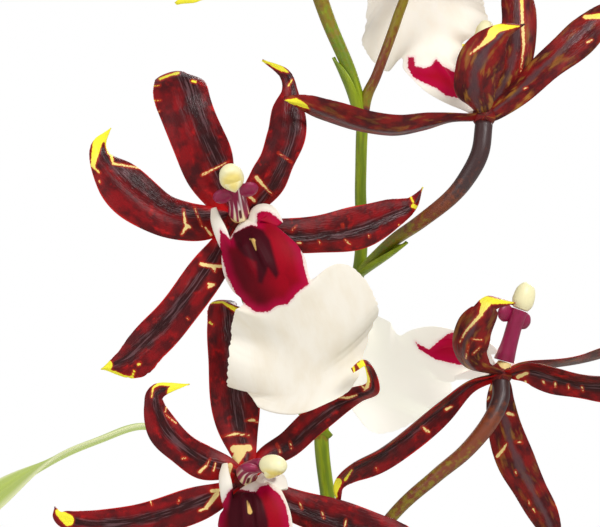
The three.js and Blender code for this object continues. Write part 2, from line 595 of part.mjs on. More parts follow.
const BLOOMS = {
  a: {
    centre: [-23, 409.6, 28],
    tepals: {
      dorsal: {
        spine: [
          [-1, 0.5, 0], [-3.4, 3, 0.6], [-6.3, 9.1, 2.5], [-9.1, 16.5, 4], [-11.6, 23.9, 3.5],
          [-13.4, 28.3, 0.5], [-14.6, 29.3, -5],
        ],
        half: [1.6, 2.8, 4.6, 5.5, 5.3, 5, 1.4],
        cup: -28,
      },
      petal_left: {
        spine: [
          [-1.5, 0, 0], [-5.1, -0.8, 1], [-10.1, -0.8, 3], [-15.4, 0.6, 5], [-20.7, 4.2, 6],
          [-25.3, 8.4, 6], [-28.5, 12.2, 5], [-29, 15.4, 4], [-26.6, 18.8, 3.5],
        ],
        half: [1.8, 3.4, 4.2, 4.9, 5.3, 4.6, 2.8, 1.6, 0],
        cup: -22,
      },
      petal_right: {
        spine: [
          [1, 0.8, 0], [3.6, 4.4, 1], [6.3, 8, 2.5], [8.4, 12.2, 3.5], [10.1, 17.5, 3.5], [10.6, 22.8, 2],
          [11, 27, 0], [9.7, 30.6, -1], [5.1, 33.4, -1],
        ],
        half: [1.6, 3.4, 4.2, 3.7, 4.1, 3.8, 1.8, 1.2, 0],
        cup: -25,
      },
      sepal_left: {
        spine: [
          [-0.5, -1, 0], [-2.5, -4.4, 0.4], [-5.1, -9.3, 1.2], [-9.1, -15.2, 2], [-13.9, -21.1, 2.4],
          [-18.6, -25.8, 2], [-23.2, -29.6, 1], [-28.9, -31.9, 0],
        ],
        half: [1.6, 2.4, 3.6, 4.2, 4.2, 4, 3, 0],
        cup: -12,
      },
      sepal_right: {
        spine: [
          [1, -1, 0], [4, -2.4, -0.4], [11, -3.6, -1.4], [18.4, -3.4, -3.4], [25.8, -1.9, -6.4],
          [32.3, 0.8, -9.4], [37, 3, -11.4], [39.5, 6.8, -11.4],
        ],
        half: [1.6, 2.4, 3.8, 4.2, 4.6, 3.6, 1.8, 0],
        cup: -15,
      },
    },
    lip: {
      spine: [
        [0.6, -1.5, 2.6], [1.4, -2.2, 5.2], [2.6, -4.8, 7.8], [4.2, -8.6, 9.4], [6, -12.6, 9.8],
        [8, -16.6, 8.8], [10.2, -21, 7], [12.2, -26.4, 4.8], [13.2, -32, 3], [13.4, -37, 2], [12, -41.4, 1.4],
      ],
      lean: [0, 0, 0, 0, 0, -0.07, -0.23, -0.18, -0.07, 0.14, 0.14],
      slant: [0, 0, 0, 0, 0, -0.5, 0.7, 1.4, 3.1, 4.5, 3.1],
      face: [-0.2, 0.3, 1],
    },
    column: {
      line: [
        [0.2, 1.5, 2.6], [0.1, 3, 4.8], [-0.3, 5, 7.6], [-0.7, 6.6, 9.6],
      ],
      face: [0.2, -0.7, 0.7],
    },
  },
  b: {
    centre: [-21.4, 354.4, 24],
    tepals: {
      dorsal: {
        spine: [
          [0, 1, 0], [-0.4, 4.9, -0.4], [-1.7, 11.3, -1.6], [-2.8, 18.7, -4], [-3.6, 27.2, -7],
          [-4.3, 33.6, -9], [-4.6, 36.8, -11], [-3, 37, -14],
        ],
        half: [1.6, 2.8, 4.5, 5.4, 5, 4.2, 3.8, 1],
        cup: -20,
      },
      petal_left: {
        spine: [
          [-1.2, 0.6, 0], [-4.5, 2.1, 0.6], [-9.1, 3.4, 2], [-13.4, 6.6, 4], [-17.2, 10.6, 5],
          [-19.1, 15.5, 5.5], [-18.3, 18.7, 4.5], [-11.9, 20, 3],
        ],
        half: [1.6, 2.8, 3.8, 3.6, 3.4, 2.4, 1.8, 0],
        cup: -25,
      },
      petal_right: {
        spine: [
          [1.2, 1.2, 0], [4.7, 4.6, -1.6], [9.4, 7.2, -3.6], [14, 11.3, -5.6], [18.5, 14.9, -5.6],
          [23, 17.4, -1], [26.8, 19.6, 7], [25.4, 24.8, 11], [22.4, 23.2, 11.6],
        ],
        half: [1.4, 2.4, 3, 3, 2.8, 2, 1.7, 1.5, 0],
        cup: -20,
      },
      sepal_left: {
        spine: [
          [-1, -0.8, 0], [-3.4, -2.6, 0], [-9.8, -5.3, 0.4], [-17.2, -7.9, 1], [-24.7, -9.6, 1.4],
          [-32.1, -10, 1], [-39.1, -8.5, 0.6], [-40.6, -6, 0.6],
        ],
        half: [1.6, 2.2, 3.6, 4, 4, 3.2, 1.8, 0],
        cup: -15,
      },
      sepal_right: {
        spine: [
          [1, -1, 0], [4.7, -3, -0.4], [11.5, -6.4, -0.8], [18.9, -8.9, -1], [26.4, -11, -1.4],
          [33.8, -13.2, -2], [39.5, -14.2, -3],
        ],
        half: [1.6, 2.4, 3.8, 4.2, 4, 3, 0],
        cup: -15,
      },
    },
    lip: {
      spine: [
        [0.4, -1.5, 2.6], [0.8, -1.5, 5.2], [1.2, -3, 8], [1.7, -7, 10], [2.2, -11.6, 10.2],
        [2.6, -16.4, 9], [3, -21.6, 6.6], [3.4, -27, 4.6], [3.8, -32.4, 3], [4, -37.4, 2], [4, -41.4, 1.4],
      ],
      face: [0, 0.3, 1],
    },
    column: {
      line: [
        [0.2, 1.5, 2.6], [1, 2.4, 5.4], [2.6, 3.2, 8.2], [4.2, 3.4, 10.4],
      ],
      face: [0, -1, 0.4],
    },
  },
  c: {
    centre: [34.3, 375.7, 0],
    tepals: {
      near_left: {
        spine: [
          [-0.6, -0.3, 0.4], [-2.6, -0.8, 0.8], [-7.3, -2.6, 2.4], [-13.4, -7.5, 5.4], [-20.5, -12.8, 8.4],
          [-27, -17.2, 11.2], [-32.8, -20.2, 13.4], [-36, -23.3, 14.4], [-35.9, -27, 14.4],
        ],
        half: [1.4, 1.8, 2.8, 4, 4.6, 4.6, 3.6, 1.8, 0],
        face: [0, -0.7, 0.7],
        cup: 42,
      },
      hooked: {
        spine: [
          [-0.5, 0.3, 0.8], [-1.9, 0.7, 2.8], [-5.7, 1.8, 5.6], [-7.9, 5.3, 9.2], [-6.9, 9.7, 11.6],
          [-4.4, 13.4, 12.4], [-2.6, 16, 11.2], [2.4, 15.6, 8.6],
        ],
        half: [1.4, 2.2, 3.6, 4.4, 4.2, 3.2, 2, 0],
        face: [0.4, 0.6, -0.7],
        cup: 30,
      },
      down: {
        spine: [
          [0.2, -0.6, -0.8], [0.2, -2.6, -3], [0.2, -6.8, -4.4], [1.5, -13.4, -5.2], [3.7, -20, -5.8],
          [6.6, -25.5, -6.4], [9.7, -31, -7.2], [12.1, -36.5, -8.2], [13, -40, -8.4],
        ],
        half: [1.4, 2.4, 3.4, 3.9, 4.2, 4, 3.6, 2, 0],
        face: [0.1, 0, -1],
        cup: 18,
      },
      right: {
        spine: [
          [0.6, 0, 0], [2.4, 0.3, 0.8], [6.4, 0.9, 2.2], [12.1, -0.7, 4.2], [17.4, -1.8, 6], [22.9, -2, 7],
          [28.4, -0.9, 7], [32.8, 1.3, 5.4],
        ],
        half: [1.4, 2, 3.2, 4.2, 4.4, 4.2, 3, 0],
        face: [0, -0.6, 0.8],
        cup: 40,
      },
      far_right: {
        spine: [
          [0.6, 0.4, -0.8], [2.6, 0.9, -2.6], [7.5, 1.3, -6.6], [13, 1.8, -12], [18.5, 2.4, -17],
          [24, 3.5, -21], [29.5, 5.3, -24], [33.9, 7.5, -26],
        ],
        half: [1.4, 2, 2.8, 4, 4.2, 3.8, 2.6, 0],
        face: [0, 1, 0.2],
        cup: 15,
      },
    },
    lip: {
      spine: [
        [-1.5, 1.8, -1.8], [-3.8, 3.8, -3.4], [-7.4, 5.6, -5.6], [-11, 6.2, -7.8], [-14.6, 5.4, -10],
        [-18, 3.8, -12.2], [-21.4, 1.6, -14.4], [-25.2, -0.6, -16.4], [-28.8, -2.6, -18], [-32, -4, -19],
        [-34.8, -4.6, -19.6],
      ],
      size: 0.9,
      face: [-0.1, 0.75, -0.66],
    },
    column: {
      line: [
        [0.9, 2.8, -0.4], [1.9, 6.6, -0.4], [3, 10.6, -0.4], [4.2, 14, -0.6],
      ],
      face: [-0.9, 0.2, -0.3],
    },
  },
  d: {
    centre: [29.4, 431.5, 20],
    tepals: {
      long_left: {
        spine: [
          [-0.6, -0.2, 0.2], [-2.4, -0.5, 0.6], [-7.2, -0.6, 2], [-12.5, -1.7, 4], [-18.9, -3, 6.6],
          [-25.9, -2.3, 9.6], [-32.7, 0, 12.4], [-38, 1.9, 14.4], [-42.7, 3, 15.6],
        ],
        half: [1.4, 1.8, 2.2, 3, 3.8, 4.2, 3.8, 2.4, 0],
        face: [0, 0.85, -0.5],
        cup: 25,
      },
      near: {
        spine: [
          [-0.4, 0.4, 0.6], [-1, 2.4, 3.6], [-1.9, 5.2, 6.8], [-1.3, 10, 9.4], [1.3, 14.7, 10.2],
          [4.2, 17.6, 9], [8.1, 19.1, 6],
        ],
        half: [1.6, 3.2, 5.2, 5.4, 4, 2, 0],
        face: [0.1, 0.1, -1],
        cup: 38,
      },
      upright: {
        spine: [
          [0.4, 0.6, -0.2], [1.7, 2.4, -0.8], [5.1, 7.7, -1.2], [7.2, 14, -2.2], [7.9, 20.4, -3.4],
          [7.4, 26.8, -5.4], [6, 32, -8.4],
        ],
        half: [1.4, 2, 3.4, 4, 4.2, 3.4, 0],
        face: [0.1, 0.1, -1],
        cup: 30,
      },
      right: {
        spine: [
          [0.8, 0.2, 0], [2.3, 0.9, 0.3], [7.7, 5.1, 1], [13, 10.2, 1], [17.9, 14.5, 0], [22.5, 18.7, -2],
          [27.2, 23, -4.4], [30.6, 25, -7],
        ],
        half: [1.4, 1.8, 2.6, 3.4, 3.8, 3.6, 2.4, 0],
        face: [0.1, -0.1, -1],
        cup: 15,
      },
      far: {
        spine: [
          [0.4, -0.4, -1], [1.4, -0.6, -3.6], [3.4, 1.6, -9], [3.8, 5.6, -16], [2.6, 10.4, -23],
          [0.2, 15, -29.4], [-4, 18, -34.6],
        ],
        half: [1.4, 2.2, 3.6, 4.2, 4, 3, 0],
        face: [-0.6, 0.8, 0.2],
        cup: 12,
      },
    },
    lip: {
      spine: [
        [-2.3, 0.9, -1.6], [-3.8, 3.4, -3.8], [-5.8, 7, -6.8], [-7.6, 10.2, -10], [-9.2, 13, -13],
        [-10.6, 16, -16], [-11.8, 20, -18.8], [-12.8, 24.8, -21.6], [-13.6, 29.6, -24], [-14.4, 34, -26],
        [-15, 37.6, -27.6],
      ],
      cup: [0, -15, -32, -28, -22, -16, -10, -8, -8, -10, -10],
      size: 0.88,
      face: [0.23, 0.86, 0.45],
      roll: [0, 0, 0, 0, -10, -25, -40, -45, -45, -45, -45],
    },
    column: {
      line: [
        [0.4, 2.4, -2.6], [0, 6.2, -5.6], [-0.2, 10.8, -7], [0.4, 14.8, -7.6],
      ],
      face: [-0.8, 0, -0.6],
    },
  },
};

// The two blooms at the top repeat the shape of others, turned about the upright, right and out axes, in
// degrees.
const REPEATS = {
  e: { like: "a", centre: [-10.9, 487, 15.6], turn: { right: -38, up: -34, out: 24 } },
  f: { like: "a", centre: [33.2, 502.4, -13.6], turn: { right: -20, up: 140, out: -20 } },
};

const LIP_HALF = [1.3, 5.2, 8, 9.6, 9.4, 8, 12.2, 15.8, 16.2, 13.8, 7.2];
const LIP_CUP = [0, -15, -38, -46, -42, -26, -10, -8, -8, -10, -10];
const LIP_SWEEP = [0, 0, 0, 0, 0, -0.6, -6, -7, -6.8, -3.2, -2];
const LIP_WAVE = [0, 0, 0, 0, 0, 0.3, 1.2, 1.6, 1.8, 1.6, 1.2];
const LIP_WAVES = 4;

// The lip: a narrow claw, an arched crimson throat and a broad, ruffled white blade, all one sheet.
function lip(shape) {
  const half = LIP_HALF.map((value) => value * (shape.size ?? 1));
  const full = { half, cup: LIP_CUP, sweep: LIP_SWEEP, wave: LIP_WAVE, waves: LIP_WAVES, ...shape };
  return solid(blade(full, LIP_THICK, LIP_GRID));
}

const TEPAL_WAVE = { wave: 0.5, waves: 2 };
const TEPAL_BEAT = 1.3; // how far each tepal ruffles out of step with the one before, in radians

// All five tepals, grown together at the receptacle.
function tepals(shapes) {
  const blades = Object.values(shapes).map((shape, index) => {
    const full = { ...TEPAL_WAVE, face: [0, 0, 1], phase: index * TEPAL_BEAT, ...shape };
    return solid(blade(full, TEPAL_THICK, TEPAL_GRID));
  });
  return joined([ball([0, 0, -RECEPTACLE.back], RECEPTACLE.radius), ...blades]);
}

const COLUMN_WIDE = [2.3, 2, 1.9, 2.1];
const COLUMN_DEEP = [1.7, 1.5, 1.5, 1.4];
const WING = { half: [2.2, 1.7, 0.7], at: 0.8, apart: 3, forward: 0.8 };

// The column stands over the lip, with a wing on each side of its top. Its front is the side towards the lip.
function column({ line, face }) {
  const stalk = solid(limb({ line, wide: COLUMN_WIDE, deep: COLUMN_DEEP, face }, COLUMN_FACETS));
  const { place, side, normal } = new Spine(line, face).at(WING.at);
  const turn = new THREE.Matrix4().makeBasis(side, new THREE.Vector3().crossVectors(normal, side), normal);
  const wings = [-1, 1].map((hand) => {
    const wing = new THREE.SphereGeometry(1, ...WING_FACETS).scale(...WING.half).applyMatrix4(turn);
    const spot = place.clone().addScaledVector(side, WING.apart * hand).addScaledVector(normal, WING.forward);
    return solid(wing.translate(spot.x, spot.y, spot.z));
  });
  return joined([stalk, ...wings]);
}

const CAP = { wide: [1.7, 2.5, 2.3, 1.1], deep: [1.6, 2.3, 2.1, 0.9], length: 5 };

// The cream anther cap sits on the end of the column.
function antherCap({ line, face }) {
  const spine = new Spine(line, face);
  const end = spine.at(1).place;
  const onward = spine.curve.getTangent(1);
  const capLine = [GAP, CAP.length * 0.35, CAP.length * 0.75, CAP.length].map((length) => {
    return end.clone().addScaledVector(onward, length).toArray();
  });
  return solid(limb({ line: capLine, wide: CAP.wide, deep: CAP.deep, face }, CAP_FACETS));
}

// Buds: closed, pointed ovals at the end of the spray

const BUDS = {
  bud_low: {
    line: [[1, 496.4, -4.2], [-0.4, 501, -5], [-2, 507, -6], [-3, 512.6, -7]],
    wide: [1.6, 3.6, 3.4, 0.5],
  },
  bud_mid: {
    line: [[21.2, 497.5, 10.1], [23, 501.4, 11.2], [25, 506, 12.4], [26.4, 510, 13]],
    wide: [1.4, 3, 2.7, 0.4],
  },
  bud_top: {
    line: [[11.9, 503.4, 7.6], [12.2, 506.4, 7.6], [12.4, 509.8, 7.8], [12.3, 513, 8]],
    wide: [1.2, 2.4, 2.1, 0.4],
  },
};

// Assembly

const plant = new THREE.Group();

function add(name, made, look, group = plant) {
  const mesh = new THREE.Mesh(made.isBufferGeometry ? made : geometryOf(made), look);
  mesh.name = name;
  group.add(mesh);
}

const holeLine = [STEM_HOLE_END, ...STEM.slice(0, 3)];
const stemHole = solid(limb({ line: holeLine, wide: STEM_RADIUS[0] + 2 * GAP }, STEM_HOLE_FACETS));
const bulbHole = (bulb) => solid(limb(pseudobulb(bulb, 2 * GAP), BULB_FACETS));
const bulbHoles = joined(Object.values(BULBS).map(bulbHole));

add("clay_pot", clayPot(), CLAY);
add("bark", barkBed([bulbHoles, rhizome(2 * GAP), stemHole]), BARK_BROWN);
add("rhizome_and_roots", mainBody(rhizome(0).subtract(bulbHoles).subtract(stemHole)), ROOT_GREY);
for (const [name, bulb] of Object.entries(BULBS)) {
  add(`pseudobulb_${name}`, limb(pseudobulb(bulb), BULB_FACETS), BULB_GREEN);
}
for (const name of Object.keys(LEAVES)) add(`leaf_${name}`, leaf(name), LEAF_GREEN);

const seats = [];
const blooms = { ...BLOOMS };
for (const [name, repeat] of Object.entries(REPEATS)) blooms[name] = { ...BLOOMS[repeat.like], ...repeat };
for (const [name, bloom] of Object.entries(blooms)) {
  const group = new THREE.Group();
  group.position.set(...bloom.centre);
  const { right = 0, up = 0, out = 0 } = bloom.turn ?? {};
  group.rotation.set(...[right, up, out].map(THREE.MathUtils.degToRad), "YXZ");
  add(`bloom_${name}_tepals`, tepals(bloom.tepals), TEPAL_MAROON, group);
  add(`bloom_${name}_lip`, lip(bloom.lip), LIP_WHITE, group);
  add(`bloom_${name}_column`, column(bloom.column), COLUMN_MAGENTA, group);
  add(`bloom_${name}_anther_cap`, antherCap(bloom.column), CAP_CREAM, group);
  plant.add(group);
  seats.push(ball(bloom.centre, RECEPTACLE.radius + 2 * GAP));
}

add("flower_spike", flowerSpike(seats), STEM_GREEN);
for (const [name, bud] of Object.entries(BUDS)) add(name, limb(bud, BUD_FACETS), BUD_MAROON);

plant.rotation.x = Math.PI / 2;

export default plant;
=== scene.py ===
"""A potted odontonia orchid in flower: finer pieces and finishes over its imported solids.

Shapes are laid out in millimetres in three directions, right, up and out towards the viewer, from the
centre of the pot's base, and are turned into the frame's metres when a mesh is made.
"""

import math

import bpy
import numpy as np
from mathutils import Matrix, Vector, noise


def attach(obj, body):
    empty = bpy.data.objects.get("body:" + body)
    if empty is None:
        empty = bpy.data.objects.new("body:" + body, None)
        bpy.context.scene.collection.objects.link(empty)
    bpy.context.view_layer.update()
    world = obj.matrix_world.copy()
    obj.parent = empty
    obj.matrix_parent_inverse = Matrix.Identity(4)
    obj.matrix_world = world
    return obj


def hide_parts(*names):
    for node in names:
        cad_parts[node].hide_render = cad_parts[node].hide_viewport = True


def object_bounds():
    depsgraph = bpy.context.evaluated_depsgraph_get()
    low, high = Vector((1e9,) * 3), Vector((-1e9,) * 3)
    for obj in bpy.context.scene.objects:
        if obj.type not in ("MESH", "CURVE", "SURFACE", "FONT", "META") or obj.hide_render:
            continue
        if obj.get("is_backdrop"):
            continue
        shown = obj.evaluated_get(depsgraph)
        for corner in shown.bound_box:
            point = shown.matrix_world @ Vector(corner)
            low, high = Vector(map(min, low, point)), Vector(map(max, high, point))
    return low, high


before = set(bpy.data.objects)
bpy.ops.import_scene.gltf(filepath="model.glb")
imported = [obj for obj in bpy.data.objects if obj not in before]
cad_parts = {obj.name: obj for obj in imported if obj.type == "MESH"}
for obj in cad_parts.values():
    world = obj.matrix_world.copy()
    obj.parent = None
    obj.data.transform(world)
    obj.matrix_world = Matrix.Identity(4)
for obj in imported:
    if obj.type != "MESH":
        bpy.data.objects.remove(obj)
CAD_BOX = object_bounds()

# The view of the photograph

CAMERA_AWAY = 700  # from the plane through the pot's axis that faces the camera
CAMERA_RIGHT = -9.9
CAMERA_UP = 400
VIEW_WIDTH = 132  # of that plane
SENSOR = 36
CLIP = (0.05, 20)  # the nearest and the farthest that it sees, in metres
PHOTO_WIDE = 600  # in its own pixels
PHOTO_MIDDLE = (300, 263.5)
PIXEL = VIEW_WIDTH / PHOTO_WIDE

# Driving dimensions, in millimetres where they are lengths

METRE = 1000
GAP = 0.3
LEAF_THICK = 1.2
LEAF_RIB = {"deep": 0.5, "wide": 1.2}
TEPAL_THICK = 0.9
TEPAL_RIB = {"deep": 0.35, "wide": 0.8}
TEPAL_SHEEN_SHIFT = 0.12  # how far from the middle its dark midrib band with a painted grey sheen lies, as a share of its half width
TEPAL_BEAT = 1.3  # how far each tepal's ruffles are behind the last one's, in radians
LIP_THICK = 0.8
LIP_WAVES = 4
KEELS = {"at": 0.16, "wide": 0.09, "high": 0.9, "from": 0.16, "rise": 0.06, "to": 0.42, "fall": 0.08}
RECEPTACLE = {
    "radius": 2.6, "back": 0.3, "stops": (0.02, 0.5, 1, 1.5, 1.98), "sizes": (0.1, 0.87, 1, 0.87, 0.1),
}
NECK = {"stops": (0, 0.3, 0.7, 1), "wide": [2, 1.9, 1.7, 1.5], "run": 3, "dark": 0.8, "paler": 2}
RED_SHARE = 0.6  # a share of a tepal's half width that lies between its dark midrib band with painted sheen and its margin
RED_RUN = 20  # and a length along it that is past its scarlet foot
MARGIN_WAVE = {"deep": 0.06, "count": 2.3, "next": 0.37, "side": 0.4}
RHIZOME_RADIUS = 4.2
ROOT_RADIUS = 2
CURVE_STEPS = 96
OFF_BEAT = 1.9  # how far the ruffles on a blade's left are ahead of those on its right, in radians
RUFFLE_POWER = 1.5  # a ruffle fades towards the middle by this power
LEAST_BEND = 1e-3  # a blade that bends less than this, in radians, is flat
LEAST_HALF_WIDTH = 0.12
LEAST_RADIUS = 0.1
FAR_OUTSIDE = -40.0
NO_MARK = -9.0  # how far inside a mark a place lies that has none near it
TIP_LENGTH = 6
TIP_FADE = {"from": 12, "over": 6}  # pale marks turn yellow towards a tepal's tip
SKIN_APART = 40.0  # between the places where two blades' patterns are taken
SEED = 11

# How ragged a blade's margin is: coarsely, finely, and from which share of the way to its tip
FRAY = {"tepal": (0.05, 0.02, 0.7), "lip": (0.03, 0.008, 0.5)}
FRAY_RISE = 0.2  # the share of the way in which it becomes fully ragged
FRAY_ROWS = 9  # over which the coarse notches are smoothed

# Rows and columns of the blades' grids, finer for the blooms seen close
DETAILED = "abcd"
TEPAL_GRIDS = {True: (110, 33), False: (60, 17)}
LIP_GRIDS = {True: (150, 81), False: (70, 41)}
LEAF_GRID = (120, 17)
BRACT_GRID = (40, 17)

# Rings and sides of the round pieces
RINGS = {
    "stem": (300, 20), "stalk": (60, 18), "bulb": (90, 96), "rhizome": (90, 32), "root": (80, 20),
    "bud": (50, 36), "receptacle": (12, 16), "column": (50, 40), "wing": (16, 20), "cap": (30, 32),
    "shoulder": (40, 24), "drain": (4, 40), "chip": (14, 16),
}

FLOOR_RADIUS = 1.5
FLOOR_SIDES = 96
WORLD_LIGHT = 0.42

# Each light's place, the point it faces, its size and its power
LIGHTS = {
    "key": ((0.5, -0.7, 1.1), (0, 0, 0.4), 0.3, 7.5),
    "fill": ((-0.9, -0.9, 0.5), (0, 0, 0.35), 0.8, 4.2),
    "rim": ((0.4, 0.8, 0.9), (0, 0, 0.4), 0.5, 6),
}

POT = {
    "height": 105, "base": 41, "shoulder": 54, "rim": 60, "rim_depth": 24, "wall": 5, "floor": 6,
    "drain": 4, "drain_ring": 24, "drains": 4, "cut": (-9, 0, 9, 18), "sides": 128, "rows": 2.6,
    "edge": 1.5, "round": 1.3, "middle": 0.05, "sharp": 35,
    "lean": 1, "inner_lean": 0.6, "crown": 2, "crown_edge": 0.5, "ledge": 4,
    "wobble": 0.12, "rings": (2.1, 0.83), "drift": 2, "plain_foot": 3,
}
BARK = {
    "top": 90, "inside": 50, "voxel": 1.1, "least": 0.3, "eaten": 0.9,
    "pits": 0.22, "fractal": (1.0, 2.0, 4), "tones": 0.09, "sharp": 50,
}
CHIPS = {
    "count": 150, "long": (6, 12), "wide": 0.3, "deep": 0.13, "tilt": 0.3, "pile": 3, "fall": 2.5,
    "bevel": 5, "least": 0.6, "stops": (-0.5, -0.47, -0.2, 0.2, 0.46, 0.5), "taper": (0.5, 1, 1, 1, 1, 0.4),
    "apart": 1, "grain_apart": 7.3,
}
LEAF_CLEAR = 6  # kept free of chips round each leaf
PLANTED_STOPS = {"creeping": 60, "standing": 200, "bulb": 30}
MOST_ROUND = 0.45  # the most of a profile's side that the curve at its corner takes
CORNER_STOPS = (0, 0.33, 0.67, 1)
GOLDEN_ANGLE = math.pi * (3 - math.sqrt(5))
RIBS = {"count": 14, "deep": 0.018}
SEAMS = {"count": 3, "deep": 0.05, "narrow": 8}

BULB_STOPS = [0, 0.12, 0.3, 0.5, 0.7, 0.88, 1]
BULB_WIDE = [0.42, 0.82, 1, 0.94, 0.72, 0.42, 0.2]
BULB_DEEP = [0.55, 0.86, 1, 0.94, 0.72, 0.46, 0.3]

